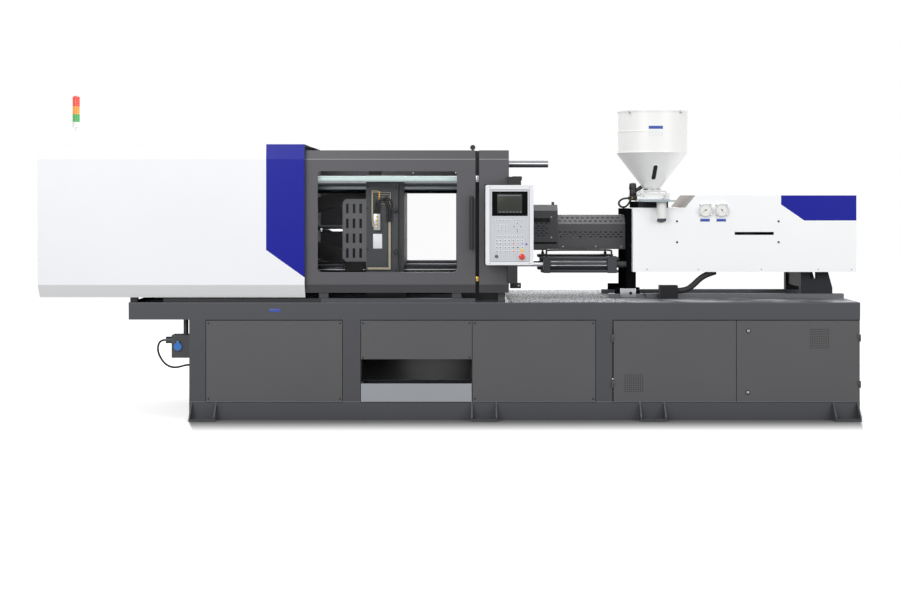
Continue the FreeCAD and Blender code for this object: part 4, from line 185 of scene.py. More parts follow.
def shotField(shader, place, color):
    x, y, z = axesOf(place)
    edge = maths("MULTIPLY_ADD", excess(shotBlue["knee"], z), shotBlue["slope"], shotBlue["from"])
    corner = product(above(x, edge), above(z, shotBlue["low"]), below(y, shotBlue["front"]))
    # painted shade: grey and without gloss on the ramp
    paintedRampShade = product(above(z, shotRampShade["low"]), below(x, shotRampShade["end"]), above(y, shotRampShade["front"]))
    wire(shader, Specular_IOR_Level=ranged(paintedRampShade, shotRampShade["gloss"], 0.0))
    return mixed(corner, mixed(paintedRampShade, color, shotRampShade["tone"]), blue)


# doors and guard: their sheets are folded back at top and foot; painted shade darkens the foot and the top
# band, and a painted highlight lines the top crease
doorFoldShading = {"low": 1.150, "high": 2.2165, "crease": 0.0026}


def doorField(shader, place, color):
    z = axesOf(place)[2]
    # painted shade below the foot fold and above the top fold, painted highlight along the crease
    for where, tone in ((below(z, doorFoldShading["low"]), "#3a393c"), (above(z, doorFoldShading["high"]), "#4a494d"),
                        (within(z, doorFoldShading["high"], doorFoldShading["crease"]), "#8f8f92")):
        color = mixed(where, color, tone)
    return color


# the bed's top under the clamp is painted black and matt as painted shade
bedTopShade = {"top": 0.996, "end": 0.2, "half": 0.735, "gloss": 0.5}


def bedField(shader, place, color):
    x, y, z = axesOf(place)
    shadedTop = product(above(z, bedTopShade["top"]), below(x, bedTopShade["end"]), within(y, 0, bedTopShade["half"]))
    wire(shader, Specular_IOR_Level=ranged(shadedTop, bedTopShade["gloss"], 0.0))
    return mixed(shadedTop, color, "#0b0b0d")


# the floor frame's scrap chute is painted near black inside as painted shade
chute = {"x": (-0.3115, 0.4735), "y": (-0.0275, 0.7275)}  # its middle and half its size, in metres


def frameField(shader, place, color):
    x, y = axesOf(place)[:2]
    return mixed(product(within(x, *chute["x"]), within(y, *chute["y"])), color, "#0d0d0f")


# the lower door rail: lighter grey below this height where the door runs, painted black under the clamp cover
# as painted shade
lowRail = {"top": 1.036, "cover": -1.121}


def railField(shader, place, color):
    x, y, z = axesOf(place)
    return mixed(below(z, lowRail["top"]), color, mixed(below(x, lowRail["cover"]), "#404145", "#0c0c0e"))


# the carriage's front plate, up to this length, is painted near black and nearly matt as painted shade, darker
# than its beams and rear legs
frontPlateShade = {"end": 1.66, "gloss": 0.1}


def carriageField(shader, place, color):
    plate = below(axesOf(place)[0], frontPlateShade["end"])
    wire(shader, Specular_IOR_Level=ranged(plate, frontPlateShade["gloss"], 0.0))
    return mixed(plate, color, "#0f0f11")


# the hopper's slide is bare pale steel from this height up, its emptying tube white
def slideField(shader, place, color, bareFrom=1.8525):
    return mixed(above(axesOf(place)[2], bareFrom), color, "#a9b6ba")


# turned or ground steel: long tool lines, drawn 1 mm apart where real ones are too
# fine to see, stretch the highlights along the part
def turnedSteel(name, light, dark, roughness, stretch=(1.0, 30.0, 30.0), line=30.0):
    material, shader, place = newMaterial(name, Metallic=1.0)
    lines = noise(stretched(place, stretch), line, 4.0)
    rough = ranged(lines, roughness * 0.75, roughness * 1.3)
    wire(shader, Base_Color=mixed(lines, dark, light), Roughness=rough)
    emboss(shader, lines, 0.15, 0.1)
    return material


# ground bars, oiled; their near-black colour is a painted dark reflection, and a painted highlight strip runs
# along the middle of each
def barsWithPaintedLight(name, darkReflection, highlightStrips, stretch=(1.0, 30.0, 30.0), line=30.0):
    material, shader, place = newMaterial(name, Metallic=1.0, Roughness=0.3)
    lines = noise(stretched(place, stretch), line, 4.0)
    color = mixed(lines, *darkReflection)
    z = axesOf(place)[2]
    for height, half, tone in highlightStrips:
        color = mixed(within(z, height, half), color, tone)
    wire(shader, Base_Color=color)
    emboss(shader, lines, 0.1, 0.1)
    return material


# hot-dip galvanised sheet: zinc crystals some 15 mm across, each a slightly other grey
def galvanisedSheet(name, light, dark, crystal=15):
    material, shader, place = newMaterial(name, Metallic=1.0)
    tree = place.id_data
    spangle = addNode(tree, "TexVoronoi", {"Vector": place, "Scale": 1 / (crystal * mm)})["Color"]
    tone = addNode(tree, "SeparateColor", {"Color": spangle})[0]
    wire(shader, Base_Color=mixed(tone, dark, light), Roughness=ranged(tone, 0.32, 0.5))
    return material


# painted iron casting: the sand mould's 8 mm grain shows softly through the paint; inside the
# inner limit, between the castings' sides, it is painted black as painted shade; the slotted bracket, which
# lies past another limit, is paler
def paintedCasting(name, light, dark, roughness=0.48, inner=None, past=None, grain=8):
    material, shader, place = newMaterial(name, Roughness=roughness)
    sand = noise(place, grain, 5.0)
    color = mixed(sand, dark, light)
    x, y = axesOf(place)[:2]
    # painted shade: black between the castings' sides
    if inner:
        color = mixed(within(y, 0, inner), color, "#141417")
    if past:
        color = mixed(below(x, past[0]), color, past[1])
    wire(shader, Base_Color=color)
    emboss(shader, sand, 0.45, 0.8)
    return material


# moulded plastic from a spark-eroded mould: an even fine grain, drawn 2 mm wide so it shows
def mouldedPlastic(name, light, dark, roughness=0.4, grain=2.0, **shaderValues):
    material, shader, place = newMaterial(name, Roughness=roughness, **shaderValues)
    pits = noise(place, grain)
    wire(shader, Base_Color=mixed(pits, dark, light))
    emboss(shader, pits, 0.2, 0.1)
    return material


# vulcanised rubber cover of a hose: matt, with the faint 4 mm wrap of the cloth it cured in
def hoseRubber(name, light, dark, cloth=4):
    material, shader, place = newMaterial(name, Roughness=0.62)
    wrap = wave(place, cloth, "X", 2.0, 0.32)
    wire(shader, Base_Color=mixed(wrap, dark, light))
    emboss(shader, wrap, 0.25, 0.2)
    return material


# cast acrylic pane, 6 mm thick: clear, so nearly all is seen through it; hard gloss, its
# faint grey tint a little uneven over 300 mm
def acrylicPane(name, light, dark, tint):
    material, shader, place = newMaterial(name, Roughness=0.03, IOR=1.49)
    haze = noise(place, 300)
    wire(shader, Base_Color=mixed(haze, dark, light), Alpha=ranged(haze, tint * 0.8, tint * 1.2))
    return material


# deck sheets: chequer plate near the clamp, rolled hot with bars 25 mm long at right angles and
# worn bright on top, with painted glints of highlight over it; past its end blued sheet wiped with oil, its
# pale patches a painted reflection; the outlet box on it is black
def deckPlate(name, plateEnd, boxFrom, cell=26):
    material, shader, place = newMaterial(name, Metallic=0.15, Specular_IOR_Level=0.3)
    tree = place.id_data
    turned = stretched(place, (1, 1, 1), 45)
    chequer = addNode(tree, "TexChecker", {"Vector": turned, "Scale": 1 / (cell * mm)})["Fac"]
    bars = {0: chequer, 2: wave(turned, cell / 2, "X"), 3: wave(turned, cell / 2, "Y")}
    raised = ranged(addNode(tree, "Mix", bars, data_type="FLOAT")[0], 0.0, 1.0, 0.45, 0.8)
    wearAndGlints = mixed(raised, mixed(noise(place, 240, 4.0), "#1c1d20", "#3c3e42"), "#a5a7aa")
    # painted highlights: pale glints stretched along the depth
    paintedGlints = ranged(noise(stretched(place, (1.0, 0.16, 1.0)), 17, 1.0), 0.0, 0.85, 0.42, 0.6)
    wearAndGlints = mixed(paintedGlints, wearAndGlints, "#c4c6c9")
    # the oil film's pale patches are a painted reflection
    oilAndPaintedReflection = ranged(noise(place, 300), 0.0, 1.0, 0.4, 0.68)
    x, y, z = axesOf(place)
    smooth = above(x, plateEnd)
    sheet = mixed(smooth, wearAndGlints, mixed(oilAndPaintedReflection, "#55575b", "#b4b6b9"))
    wire(shader, Base_Color=mixed(above(z, boxFrom), sheet, "#1b1b1e"), Roughness=ranged(smooth, 0.62, 0.35))
    emboss(shader, product(raised, below(smooth, 1.0)), 0.9, 1.5)
    return material


# polycarbonate lenses of the signal light, one above the other in one stack, ribbed 5 mm apart
def signalLens(name, bands, ribs=5):
    material, shader, place = newMaterial(name, Roughness=0.15, Coat_Weight=0.5, Emission_Strength=0.25)
    z = axesOf(place)[2]
    color = bands[0][1]
    for height, tone in bands[1:]:
        color = mixed(above(z, height), color, tone)
    wire(shader, Base_Color=color, Emission_Color=color)
    emboss(shader, wave(place, ribs, "Z"), 0.3, 0.5)
    return material


doorPaint = powderCoat("doorPowderCoat", "#57565b", "#504e52", field=doorField)
panelPaint = powderCoat("panelPowderCoat", "#555456", "#4e4d4f")
framePaint = powderCoat("framePowderCoat", "#46474b", "#3f4044", 0.38, field=frameField)
bedPaint = powderCoat("bedPowderCoat", "#484a4f", "#414348", 0.36, field=bedField)
guardPaint = powderCoat("barrelGuardPowderCoat", "#454549", "#3f3f43")
purgePaint = powderCoat("purgeGuardPowderCoat", "#39393d", "#333337")
railPaint = powderCoat("guardTubePowderCoat", "#313134", "#2a2a2e", field=railField)
coverPaint = powderCoat("clampCoverPowderCoat", "#f8f9fc", "#f1f2f6", 0.34, gloss=0.25, field=clampField)
shotPaint = powderCoat("shotCoverPowderCoat", "#fdfeff", "#f8fafb", 0.34, gloss=0.25, field=shotField)
armPaint = powderCoat("armPowderCoat", "#1d1d20", "#161619")
carriagePaint = powderCoat("carriagePowderCoat", "#36373b", "#2e2f33", gloss=0.1, field=carriageField)
slidePaint = powderCoat("slideEnamel", "#f1f1ef", "#e8e8e6", 0.3, field=slideField)
trayPaint = powderCoat("trayPowderCoat", "#9fa3a8", "#979ba0", 0.4)
hopperPaint = powderCoat("hopperEnamel", "#fafaf8", "#f3f3f1", 0.28)
# the platen casting, painted black between its sides as painted shade
castIron = paintedCasting("platenCasting", "#333438", "#26272a", inner=0.462)
# painted shade: a darker copy of the platen casting for the fixed and tail platens, the toggle links, the
# thrust plate and the rear door's header sheet
shadedCasting = paintedCasting("castingPaintedShade", "#1b1b1f", "#141417")
platePaint = paintedCasting("sidePlateCasting", "#3b3e42", "#34373b", 0.42, past=(-0.7515, "#58585c"))
cylinderPaint = paintedCasting("cylinderCasting", "#3a3b40", "#303135")
groundBar = turnedSteel("groundChromeBar", "#dcdee0", "#c2c5c9", 0.12)
# painted highlights: a grey strip along the upper tie bars, a thin white line along the lower ones
tieBarHighlights = ((1.978, 0.016, "#7d8083"), (1.258, 0.0045, "#f2f2f2"))
tieBar = barsWithPaintedLight("tieBarPaintedReflection", ("#1d1e20", "#2e3033"), tieBarHighlights)
# the safety rod: dark grey painted reflection with a painted white highlight line
safetyBar = barsWithPaintedLight("safetyBarPaintedReflection", ("#55575b", "#66686c"), ((2.1968, 0.0058, "#fbfbfb"),))
oiledRail = turnedSteel("oiledRail", "#808286", "#606266", 0.35)
steel = turnedSteel("turnedSteel", "#c0c2c5", "#9a9ca0", 0.3)
galvanised = galvanisedSheet("galvanisedSheet", "#c9cbcd", "#a9abae")
brass = turnedSteel("turnedBrass", "#d8b25a", "#b58c3a", 0.25, (4.0, 4.0, 4.0))
blackPlastic = mouldedPlastic("blackNylon", "#17171a", "#0f0f11", 0.45)
whitePlastic = mouldedPlastic("whitePolycarbonate", "#e8e8e6", "#dcdcda", 0.38)
panelPlastic = mouldedPlastic("panelHousingAbs", "#f0f1f4", "#e8e9ed", 0.4)
keypadFilm = mouldedPlastic("keypadPolyester", "#cdd0d5", "#c6c9cf", 0.5)
keyCaps = mouldedPlastic("keyCapPolyester", "#e6e8eb", "#dee0e4", 0.4)
keyGrey = mouldedPlastic("keyPrintGrey", "#747980", "#6a6f76", 0.45)
keyDark = mouldedPlastic("keyPrintDark", "#2c3038", "#23272e", 0.45)
keyRed = mouldedPlastic("keyPrintRed", "#d9502f", "#cf4628", 0.45)
keyYellow = mouldedPlastic("pilotLampYellow", "#f2cf7a", "#ecc66c", 0.35)
stopRed = mouldedPlastic("stopButtonNylon", "#e2362b", "#d42d23", 0.25, Coat_Weight=0.4)
socketBlue = mouldedPlastic("socketLidNylon", "#2f7fd6", "#2673c8", 0.28, Coat_Weight=0.3)
# painted highlight: pale paint for the beams' lit edges
paintedEdgeHighlight = mouldedPlastic("edgeHighlightPaint", "#73757a", "#696b70", 0.5)
keyViolet = mouldedPlastic("keyPrintViolet", "#7d6fb4", "#7466a9", 0.45)
labelWhite = mouldedPlastic("bareLabelVinyl", "#f4f5f7", "#eceef0", 0.35)
tagBlue = mouldedPlastic("anodisedTagBlue", "#3f57b0", "#374fa6", 0.35)
tagSilver = mouldedPlastic("anodisedTagSilver", "#ccd0dc", "#c2c6d3", 0.35)
dialWhite = mouldedPlastic("dialEnamel", "#f4f2ee", "#ecebe6", 0.4)
dialBlack = mouldedPlastic("dialPrintBlack", "#1b1b1e", "#141417", 0.5)
blackRubber = hoseRubber("hoseRubber", "#1d1d1f", "#131315")
creamTube = mouldedPlastic("oilLineNylon", "#d8cfb6", "#c9bfa3", 0.35)
screenBlack = mouldedPlastic("screenBezelAcrylic", "#050506", "#030304", 0.3, 60.0, Specular_IOR_Level=0.08)
screenGlass = mouldedPlastic("displayGlass", "#3f413c", "#393b37", 0.3, 90.0, Specular_IOR_Level=0.15)
# painted shade: near black for the unlit insides of holes, slots and recesses, and the sheets behind them
darkInside = mouldedPlastic("unlitInside", "#0e0e10", "#09090b", 0.8, 30.0)
lampTube = mouldedPlastic("opalLampTube", "#cfe0dd", "#bcd0d0", 0.2, 60.0, Emission_Strength=0.22,
                          Emission_Color=hexToLinear("#cfe4dc"))
paneClear = acrylicPane("windowAcrylic", "#2a2c30", "#222428", tint=0.008)
lens = signalLens("signalPolycarbonate", ((0, "#3f9a4f"), (2.615, "#e88d2d"), (2.683, "#e33d2c")))
deckSheet = deckPlate("deckPlate", 1.52, 1.006)

finishes = {
    framePaint: "base_frame service_box",
    armPaint: "panel_arm",
    panelPaint: "side_panels cabinet_door_left cabinet_door_right",
    bedPaint: "bed",
    doorPaint: "operator_door rear_door platen_guard",
    guardPaint: "barrel_cover",
    purgePaint: "purge_guard",
    platePaint: "platen_side_plate",
    railPaint: "guard_frame",
    coverPaint: "clamp_covers",
    shotPaint: "injection_cover",
    hopperPaint: "hopper hopper_lid hopper_base",
    castIron: "moving_platen",
    shadedCasting: "fixed_platen tail_platen rear_link_upper rear_link_lower front_link_upper "
                "front_link_lower drive_link_upper drive_link_lower thrust_plate",
    carriagePaint: "injection_carriage",
    cylinderPaint: "hydraulic_unit clamp_cylinder carriage_cylinders",
    groundBar: "carriage_rods pressure_gauges",
    tieBar: "tie_bars",
    safetyBar: "safety_rod",
    oiledRail: "injection_rails",
    steel: "crosshead ejector barrel screw",
    slidePaint: "hopper_slide_plate",
    galvanised: "cabinet_gear heater_bands",
    trayPaint: "scrap_tray",
    deckSheet: "deck_plates",
    blackPlastic: "door_handle",
    whitePlastic: "signal_post",
    panelPlastic: "control_panel",
    screenBlack: "panel_screen",
    stopRed: "stop_button",
    socketBlue: "service_lid",
    lens: "signal_lenses",
    lampTube: "work_lamp",
    paneClear: "operator_door_pane rear_door_pane",
    blackRubber: "service_cable platen_hoses energy_chain",
}
for material, names in finishes.items():
    for name in names.split():
        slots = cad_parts[name].data.materials
        slots.clear()
        slots.append(material)
print("finishes given:", len(finishes))


# cords and pipes: a round tube along a smooth curve
def pipe(name, points, radius, body, material, smoothness=8, roundness=3):
    data = bpy.data.curves.new(name, "CURVE")
    data.dimensions = "3D"
    line = data.splines.new("NURBS")
    line.points.add(len(points) - 1)
    for target, place in zip(line.points, points):
        target.co = (*(value * mm for value in place), 1.0)
    line.order_u = 3
    line.use_endpoint_u = True
    line.resolution_u = smoothness
    data.bevel_depth = radius * mm
    data.bevel_resolution = roundness
    data.use_fill_caps = True
    data.materials.append(material)
    item = newObject(name, data)
    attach(item, body)
    return item


def lengthOf(item):
    copy = item.data.copy()
    copy.bevel_depth = 0
    probe = bpy.data.objects.new("lengthProbe", copy)
    mesh = bpy.data.meshes.new_from_object(probe)
    ends = ((mesh.vertices[vert].co for vert in edge.vertices) for edge in mesh.edges)
    total = sum((first - second).length for first, second in ends)
    bpy.data.objects.remove(probe)
    bpy.data.curves.remove(copy)
    bpy.data.meshes.remove(mesh)
    return total


# the cords come first; each runs on the route that the solids have
cords = {
    "serviceCable": ([(-2476, -586, 660), (-2516, -586, 660), (-2544, -586, 624), (-2550, -586, 570),
                      (-2528, -586, 510), (-2488, -586, 454), (-2428, -586, 422), (-2364, -586, 426),
                      (-2304, -586, 446), (-2245, -586, 446)], 9, "machine", "service_cable", "object"),
    "injectionHose": ([(1963, -420, 1075), (2037, -420, 1075), (2107, -406, 1121), (2167, -392, 1179),
                       (2233, -376, 1217), (2307, -360, 1237)], 26, "machine", "energy_chain", "object"),
}
hoseRoot = {"x": -686, "face": -498, "z": 1618, "offsets": (12, 30, 46), "radius": 8}
face, z = hoseRoot["face"], hoseRoot["z"]
for index, offset in enumerate(hoseRoot["offsets"]):
    x = hoseRoot["x"] + offset
    route = [(x, face - 20, z + 130), (x, face - 20, z + 180), (x + 4, face - 24, z + 230 + 8 * index),
             (x + 40 + 14 * index, face - 26, z + 262 + 10 * index), (x + 90 + 10 * index, face - 24, z + 236),
             (x + 104, face - 20, z + 180), (x + 106, face - 20, z + 120), (x + 104, face - 18, z + 60)]
    cords["platenHose" + str(index + 1)] = (route, hoseRoot["radius"], "platen", "platen_hoses", "object")
for name, (route, radius, body, node, farEnd) in cords.items():
    item = pipe(name, route, radius, body, blackRubber, smoothness=12, roundness=5)
    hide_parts(node)
    start = tuple(value * mm for value in route[0])
    lengthOf(item)
print("cords laid:", len(cords))

# studio: pale floor with a painted shadow round the machine's foot, added to the cast one, white surround, soft
# boxes
studio = {"floorHalf": 30.0, "floorTone": "#e2e2e2", "paintedShadowTone": "#6c6c6b", "bounceTone": "#8f8f8f",
          "glow": 0.56, "surround": 0.64, "foot": (0.609, 2.842, 0.786), "fade": (0.04, 0.9), "narrow": 0.23}


def seenBy(tree):
    rays = addNode(tree, "LightPath")
    seen = maths("MAXIMUM", rays["Is Camera Ray"], rays["Is Glossy Ray"])
    return rays["Is Camera Ray"], maths("MAXIMUM", seen, rays["Is Transmission Ray"])


shape = bmesh.new()
bmesh.ops.create_grid(shape, x_segments=4, y_segments=4, size=studio["floorHalf"])
floorMesh = bpy.data.meshes.new("studioFloor")
shape.to_mesh(floorMesh)
shape.free()
floor = newObject("studioFloor", floorMesh)
floor.location.z = -0.5 * mm
floorPaint, shader, place = newMaterial("studioFloorPaint", Roughness=0.9, Specular_IOR_Level=0.0,
                                        Emission_Color=(1, 1, 1, 1))
tree = place.id_data
x, y = axesOf(place)[:2]
# painted shadow: near the floor frame's footprint the floor turns grey and loses its glow, fading out ahead and
# aside
middle, half, ahead = studio["foot"]
ahead = excess(maths("ABSOLUTE", y), ahead)
aside = maths("ABSOLUTE", maths("SUBTRACT", x, middle))
aside = excess(maths("MULTIPLY_ADD", ahead, studio["narrow"], aside), half)
away = {index: maths("DIVIDE", (aside, ahead)[index], studio["fade"][index]) for index in (0, 1)}
away = addNode(tree, "VectorMath", {0: addNode(tree, "CombineXYZ", away)[0]}, operation="LENGTH")["Value"]
paintedShadowFade = addNode(tree, "MapRange", {"Value": away}, interpolation_type="SMOOTHSTEP")[0]
cameraRay, seen = seenBy(tree)
seenTone = mixed(paintedShadowFade, studio["paintedShadowTone"], studio["floorTone"])
wire(shader, Base_Color=mixed(cameraRay, studio["bounceTone"], seenTone),
     Emission_Strength=product(paintedShadowFade, studio["glow"], seen))
floorMesh.materials.append(floorPaint)

world = bpy.data.worlds.new("studioSurround")
world.use_nodes = True
background = world.node_tree.nodes["Background"].inputs
background["Color"].default_value = (1, 1, 1, 1)
wire(background, Strength=ranged(seenBy(world.node_tree)[1], studio["surround"], 1.0))
scene.world = world

# each soft box: its place, the place it is aimed at, its size in metres, its watts
lamps = {
    "frontSoftBox": ((-4.5, -9.5, 6.0), (0, 0, 1.2), 6.0, 500),
    "rightSoftBox": ((7.5, -7.0, 5.0), (0.5, 0, 1.2), 5.0, 250),
    "topSoftBox": ((0.0, 1.5, 7.5), (0, 0, 0), 7.0, 430),
    "rearSoftBox": ((0.0, 10.0, 5.0), (0, 0, 1.2), 6.0, 290),
}
for name, (place, aim, size, watts) in lamps.items():
    data = bpy.data.lights.new(name, "AREA")
    data.size = size
    data.energy = watts
    item = newObject(name, data)
    item.location = place
    toward = Vector(aim) - Vector(place)
    item.rotation_euler = toward.to_track_quat("-Z", "Y").to_euler()


# shapes: every piece is one mesh of rounded solids, turned profiles and plates
def facesOf(verts):
    return {face for vert in verts for face in vert.link_faces}


def paintFaces(faces, paint):
    for face in faces:
        face.material_index = paint


def roundEdges(shape, faces, rounding):
    edges = list({edge for face in faces for edge in face.edges})
    bmesh.ops.bevel(shape, geom=edges, offset=rounding * mm, affect="EDGES", segments=2, profile=0.5,
                    material=-1)


def putAt(shape, verts, middle, axis):
    turn = up.rotation_difference(Vector(axis)).to_matrix().to_4x4()
    bmesh.ops.transform(shape, matrix=Matrix.Translation(Vector(middle) * mm) @ turn, verts=verts)


def addBlock(shape, low, high, paint=0, rounding=0.0):
    verts = bmesh.ops.create_cube(shape, size=1.0)["verts"]
    low, high = Vector(low) * mm, Vector(high) * mm
    bmesh.ops.scale(shape, vec=high - low, verts=verts)
    bmesh.ops.translate(shape, vec=(low + high) / 2, verts=verts)
    paintFaces(facesOf(verts), paint)
    if rounding:
        roundEdges(shape, facesOf(verts), rounding)


def addDisc(shape, middle, axis, radius, depth, paint=0, top=None, sides=32, rounding=0.0):
    verts = bmesh.ops.create_cone(shape, cap_ends=True, segments=sides, radius1=radius * mm, depth=depth * mm,
                                  radius2=(radius if top is None else top) * mm)["verts"]
    putAt(shape, verts, middle, axis)
    paintFaces(facesOf(verts), paint)
    if rounding:
        roundEdges(shape, [face for face in facesOf(verts) if len(face.verts) > 4], rounding)


def addScrews(shape, places, radius, depth, paint=0, sides=20, rounding=0.8):
    for place in places:
        addDisc(shape, place, front, radius, depth, paint, sides=sides, rounding=rounding)


def addTurned(shape, profile, middle, axis, paint=0, sides=32):
    verts = [shape.verts.new((radius * mm, 0, along * mm)) for radius, along in profile]
    edges = [shape.edges.new(pair) for pair in zip(verts, verts[1:])]
    before = set(shape.faces)
    bmesh.ops.spin(shape, geom=verts + edges, cent=(0, 0, 0), axis=up, angle=math.tau, steps=sides,
                   use_merge=True)
    made = list({vert for face in set(shape.faces) - before for vert in face.verts})
    bmesh.ops.remove_doubles(shape, verts=made, dist=0.01 * mm)
    faces = [face for face in shape.faces if face not in before]
    bmesh.ops.recalc_face_normals(shape, faces=faces)
    putAt(shape, list({vert for face in faces for vert in face.verts}), middle, axis)
    paintFaces(faces, paint)


def addPlate(shape, corners, along, thickness, paint=0, rounding=0.0):
    verts = [shape.verts.new(Vector(corner) * mm) for corner in corners]
    face = shape.faces.new(verts)
    if rounding:
        rounded = bmesh.ops.bevel(shape, geom=verts, offset=rounding * mm, affect="VERTICES", segments=4,
                                  profile=0.5, material=-1)
        face = rounded["verts"][0].link_faces[0]
    made = bmesh.ops.extrude_face_region(shape, geom=[face])["geom"]
    moved = [item for item in made if isinstance(item, bmesh.types.BMVert)]
    bmesh.ops.translate(shape, vec=Vector(along).normalized() * thickness * mm, verts=moved)
    paintFaces({item for vert in moved for edge in vert.link_edges for item in edge.link_faces} | {face}, paint)


def finishPiece(name, shape, body, *materials, angle=35):
    bmesh.ops.recalc_face_normals(shape, faces=shape.faces)
    mesh = bpy.data.meshes.new(name)
    shape.to_mesh(mesh)
    shape.free()
    for material in materials:
        mesh.materials.append(material)
    mesh.shade_smooth()
    mesh.set_sharp_from_angle(angle=math.radians(angle))
    item = newObject(name, mesh)
    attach(item, body)
    return item


# control panel: keypad film round the display, its keys, the small knob and the stop button's ring
panelLook = {
    "face": -930, "oilAndPaintedReflection": (313, 642, 1354, 1957), "rim": (310, 645, 1351, 1960),
    "bezel": (329, 629, 1736, 1942), "display": (373, 582, 1760, 1921), "softKey": (20, 29), "key": (12, 10.2),
    "smallKey": (11, 8), "padKey": (11, 7),
    "columns": (371, 400, 441, 473, 509, 546, 584), "rows": (1567, 1531, 1507, 1471, 1439),
    "functionRow": (366, 30, 1700), "arrows": ((542, 1673), (514, 1648), (570, 1648), (542, 1624), (542, 1603)),
    "padColumns": (380, 410, 440), "padRows": (1657, 1637, 1617), "lamp": (584, 1446), "selector": (618, 1499),
    "knob": (367, 1397), "stop": (580, 1394), "screws": ((311, 644), (1337, 1978)),
}
face = panelLook["face"]
shape = bmesh.new()
x0, x1, z0, z1 = panelLook["display"]
addBlock(shape, (x0, face - 1.5, z0), (x1, face + 1, z1), 0, 0.6)
wide, pitch = panelLook["softKey"]
for index in range(7):  # the soft keys' bars along the display's foot
    x = x0 + 14 + index * pitch
    addBlock(shape, (x, face - 1.8, z0 + 6), (x + wide, face - 1.2, z0 + 13), 1, 0.2)
addBlock(shape, (x0 + 10, face - 1.8, z1 - 18), (x1 - 10, face - 1.2, z1 - 10), 1, 0.2)
finishPiece("panelDisplay", shape, "panel", screenGlass, keyGrey)


def addFrame(shape, outer, inner, near, far, paint):
    x0, x1, z0, z1 = outer
    b0, b1, c0, c1 = inner
    for a, b, low, high in ((x0, x1, z0, c0), (x0, x1, c1, z1), (x0, b0, c0, c1), (b1, x1, c0, c1)):
        addBlock(shape, (a, near, low), (b, far, high), paint)


shape = bmesh.new()
addFrame(shape, panelLook["oilAndPaintedReflection"], panelLook["bezel"], face - 0.8, face + 0.5, 0)
addFrame(shape, panelLook["rim"], panelLook["oilAndPaintedReflection"], face - 0.4, face + 0.5, 1)
finishPiece("keypadFilm", shape, "panel", keypadFilm, keyGrey)

keyPaints = {"cap": 0, "grey": 1, "dark": 2, "red": 3, "yellow": 4, "violet": 5}
colored = {(4, 2): "red", (4, 4): "red", (6, 2): "violet", (4, 3): "dark", (5, 3): "dark"}


def addKey(shape, x, z, paint, size):
    share = 0.42 if paint == "grey" else 0.5  # how much of the cap its printed mark takes
    for half, near, far, tone, rounding in ((1, 2.2, 0.6, "cap", 1.2), (share, 2.7, 2.1, paint, 0.2)):
        wide, tall = size[0] * half, size[1] * half
        low, high = (x - wide, face - near, z - tall), (x + wide, face - far, z + tall)
        addBlock(shape, low, high, keyPaints[tone], rounding)


shape = bmesh.new()
for row, z in enumerate(panelLook["rows"]):
    for column, x in enumerate(panelLook["columns"]):
        if (column, row) != (6, 4):
            addKey(shape, x, z, colored.get((column, row), "grey"), panelLook["key"])
first, pitch, z = panelLook["functionRow"]
for column in range(8):
    addKey(shape, first + column * pitch, z, "grey", panelLook["smallKey"])
for x, z in panelLook["arrows"]:
    addKey(shape, x, z, "dark", panelLook["smallKey"])
for x in panelLook["padColumns"]:
    for z in panelLook["padRows"]:
        addKey(shape, x, z, "grey", panelLook["padKey"])
for key, radius, paint in (("lamp", 16, "yellow"), ("selector", 9, "violet")):
    x, z = panelLook[key]
    addScrews(shape, [(x, face - 1.8, z)], radius, 2.4, keyPaints[paint], 32, 0.6)
finishPiece("panelKeys", shape, "panel", keyCaps, keyGrey, keyDark, keyRed, keyYellow, keyViolet)

shape = bmesh.new()
x, z = panelLook["stop"]
addTurned(shape, ((28, 0), (33, 0), (33, 2), (31, 3), (28, 2), (28, 0)), (x, face + 0.2, z), front, 0, 48)
x, z = panelLook["knob"]
knob = ((0, 0), (13, 0), (13, 3), (10, 4), (10, 16), (8, 18), (0, 18))
addTurned(shape, knob, (x, face + 0.2, z), front, 1, 32)
addBlock(shape, (x - 1, face - 19, z - 2), (x + 1, face - 17, z + 8), 2, 0.3)
across, heights = panelLook["screws"]
addScrews(shape, [(x, face - 1, z) for x in across for z in heights], 5, 3, 3, 32)
finishPiece("panelControls", shape, "panel", panelPlastic, blackPlastic, whitePlastic, steel)
shape = bmesh.new()
addBlock(shape, (267, -875, 1321), (276, -862, 2004), 0, 2)
addBlock(shape, (267, -875, 1995.5), (440, -862, 2004), 0, 2)
finishPiece("panelRearRim", shape, "panel", blackPlastic)

# clamp: what hangs on the moving platen's side, seen through the window
clampLook = {
    "side": -498, "fittings": (-638, (1935, 1915, 1895, 1875, 1855, 1835)), "label": (-693, -615, 1447, 1574),
    "block": (-686, -630, 1608, 1748), "knobs": ((-496, 1777), (-496, 1413)), "line": 1.3,
    "sensorBar": (-1160, -754, -450, 1600),
}
side = clampLook["side"]
shape = bmesh.new()
x, heights = clampLook["fittings"]
for z in heights:
    addDisc(shape, (x, side - 3, z), front, 9, 6, 0, sides=6, rounding=0.8)
    addDisc(shape, (x, side - 12, z), front, 5, 14, 0, sides=20, rounding=0.8)
x0, x1, z0, z1 = clampLook["block"]
addBlock(shape, (x0 - 1, side - 41, z0 - 1), (x1 + 1, side - 0.5, z1 + 1), 1, 2.0)
for step in range(4):
    addDisc(shape, (x0 + 28, side - 44, z0 + 22 + step * 32), front, 10, 8, 0, sides=6, rounding=0.8)
x0, x1, z0, z1 = clampLook["label"]
addBlock(shape, (x0, side - 1.2, z0), (x1, side + 0.2, z1), 2, 0.4)
for x, z in clampLook["knobs"]:
    addDisc(shape, (x, side - 18, z), front, 6, 38, 1, rounding=1.0)
    addTurned(shape, ((0, 0), (14, 0), (19, 5), (19, 14), (15, 20), (0, 20)), (x, side - 36, z), front, 3, 7)
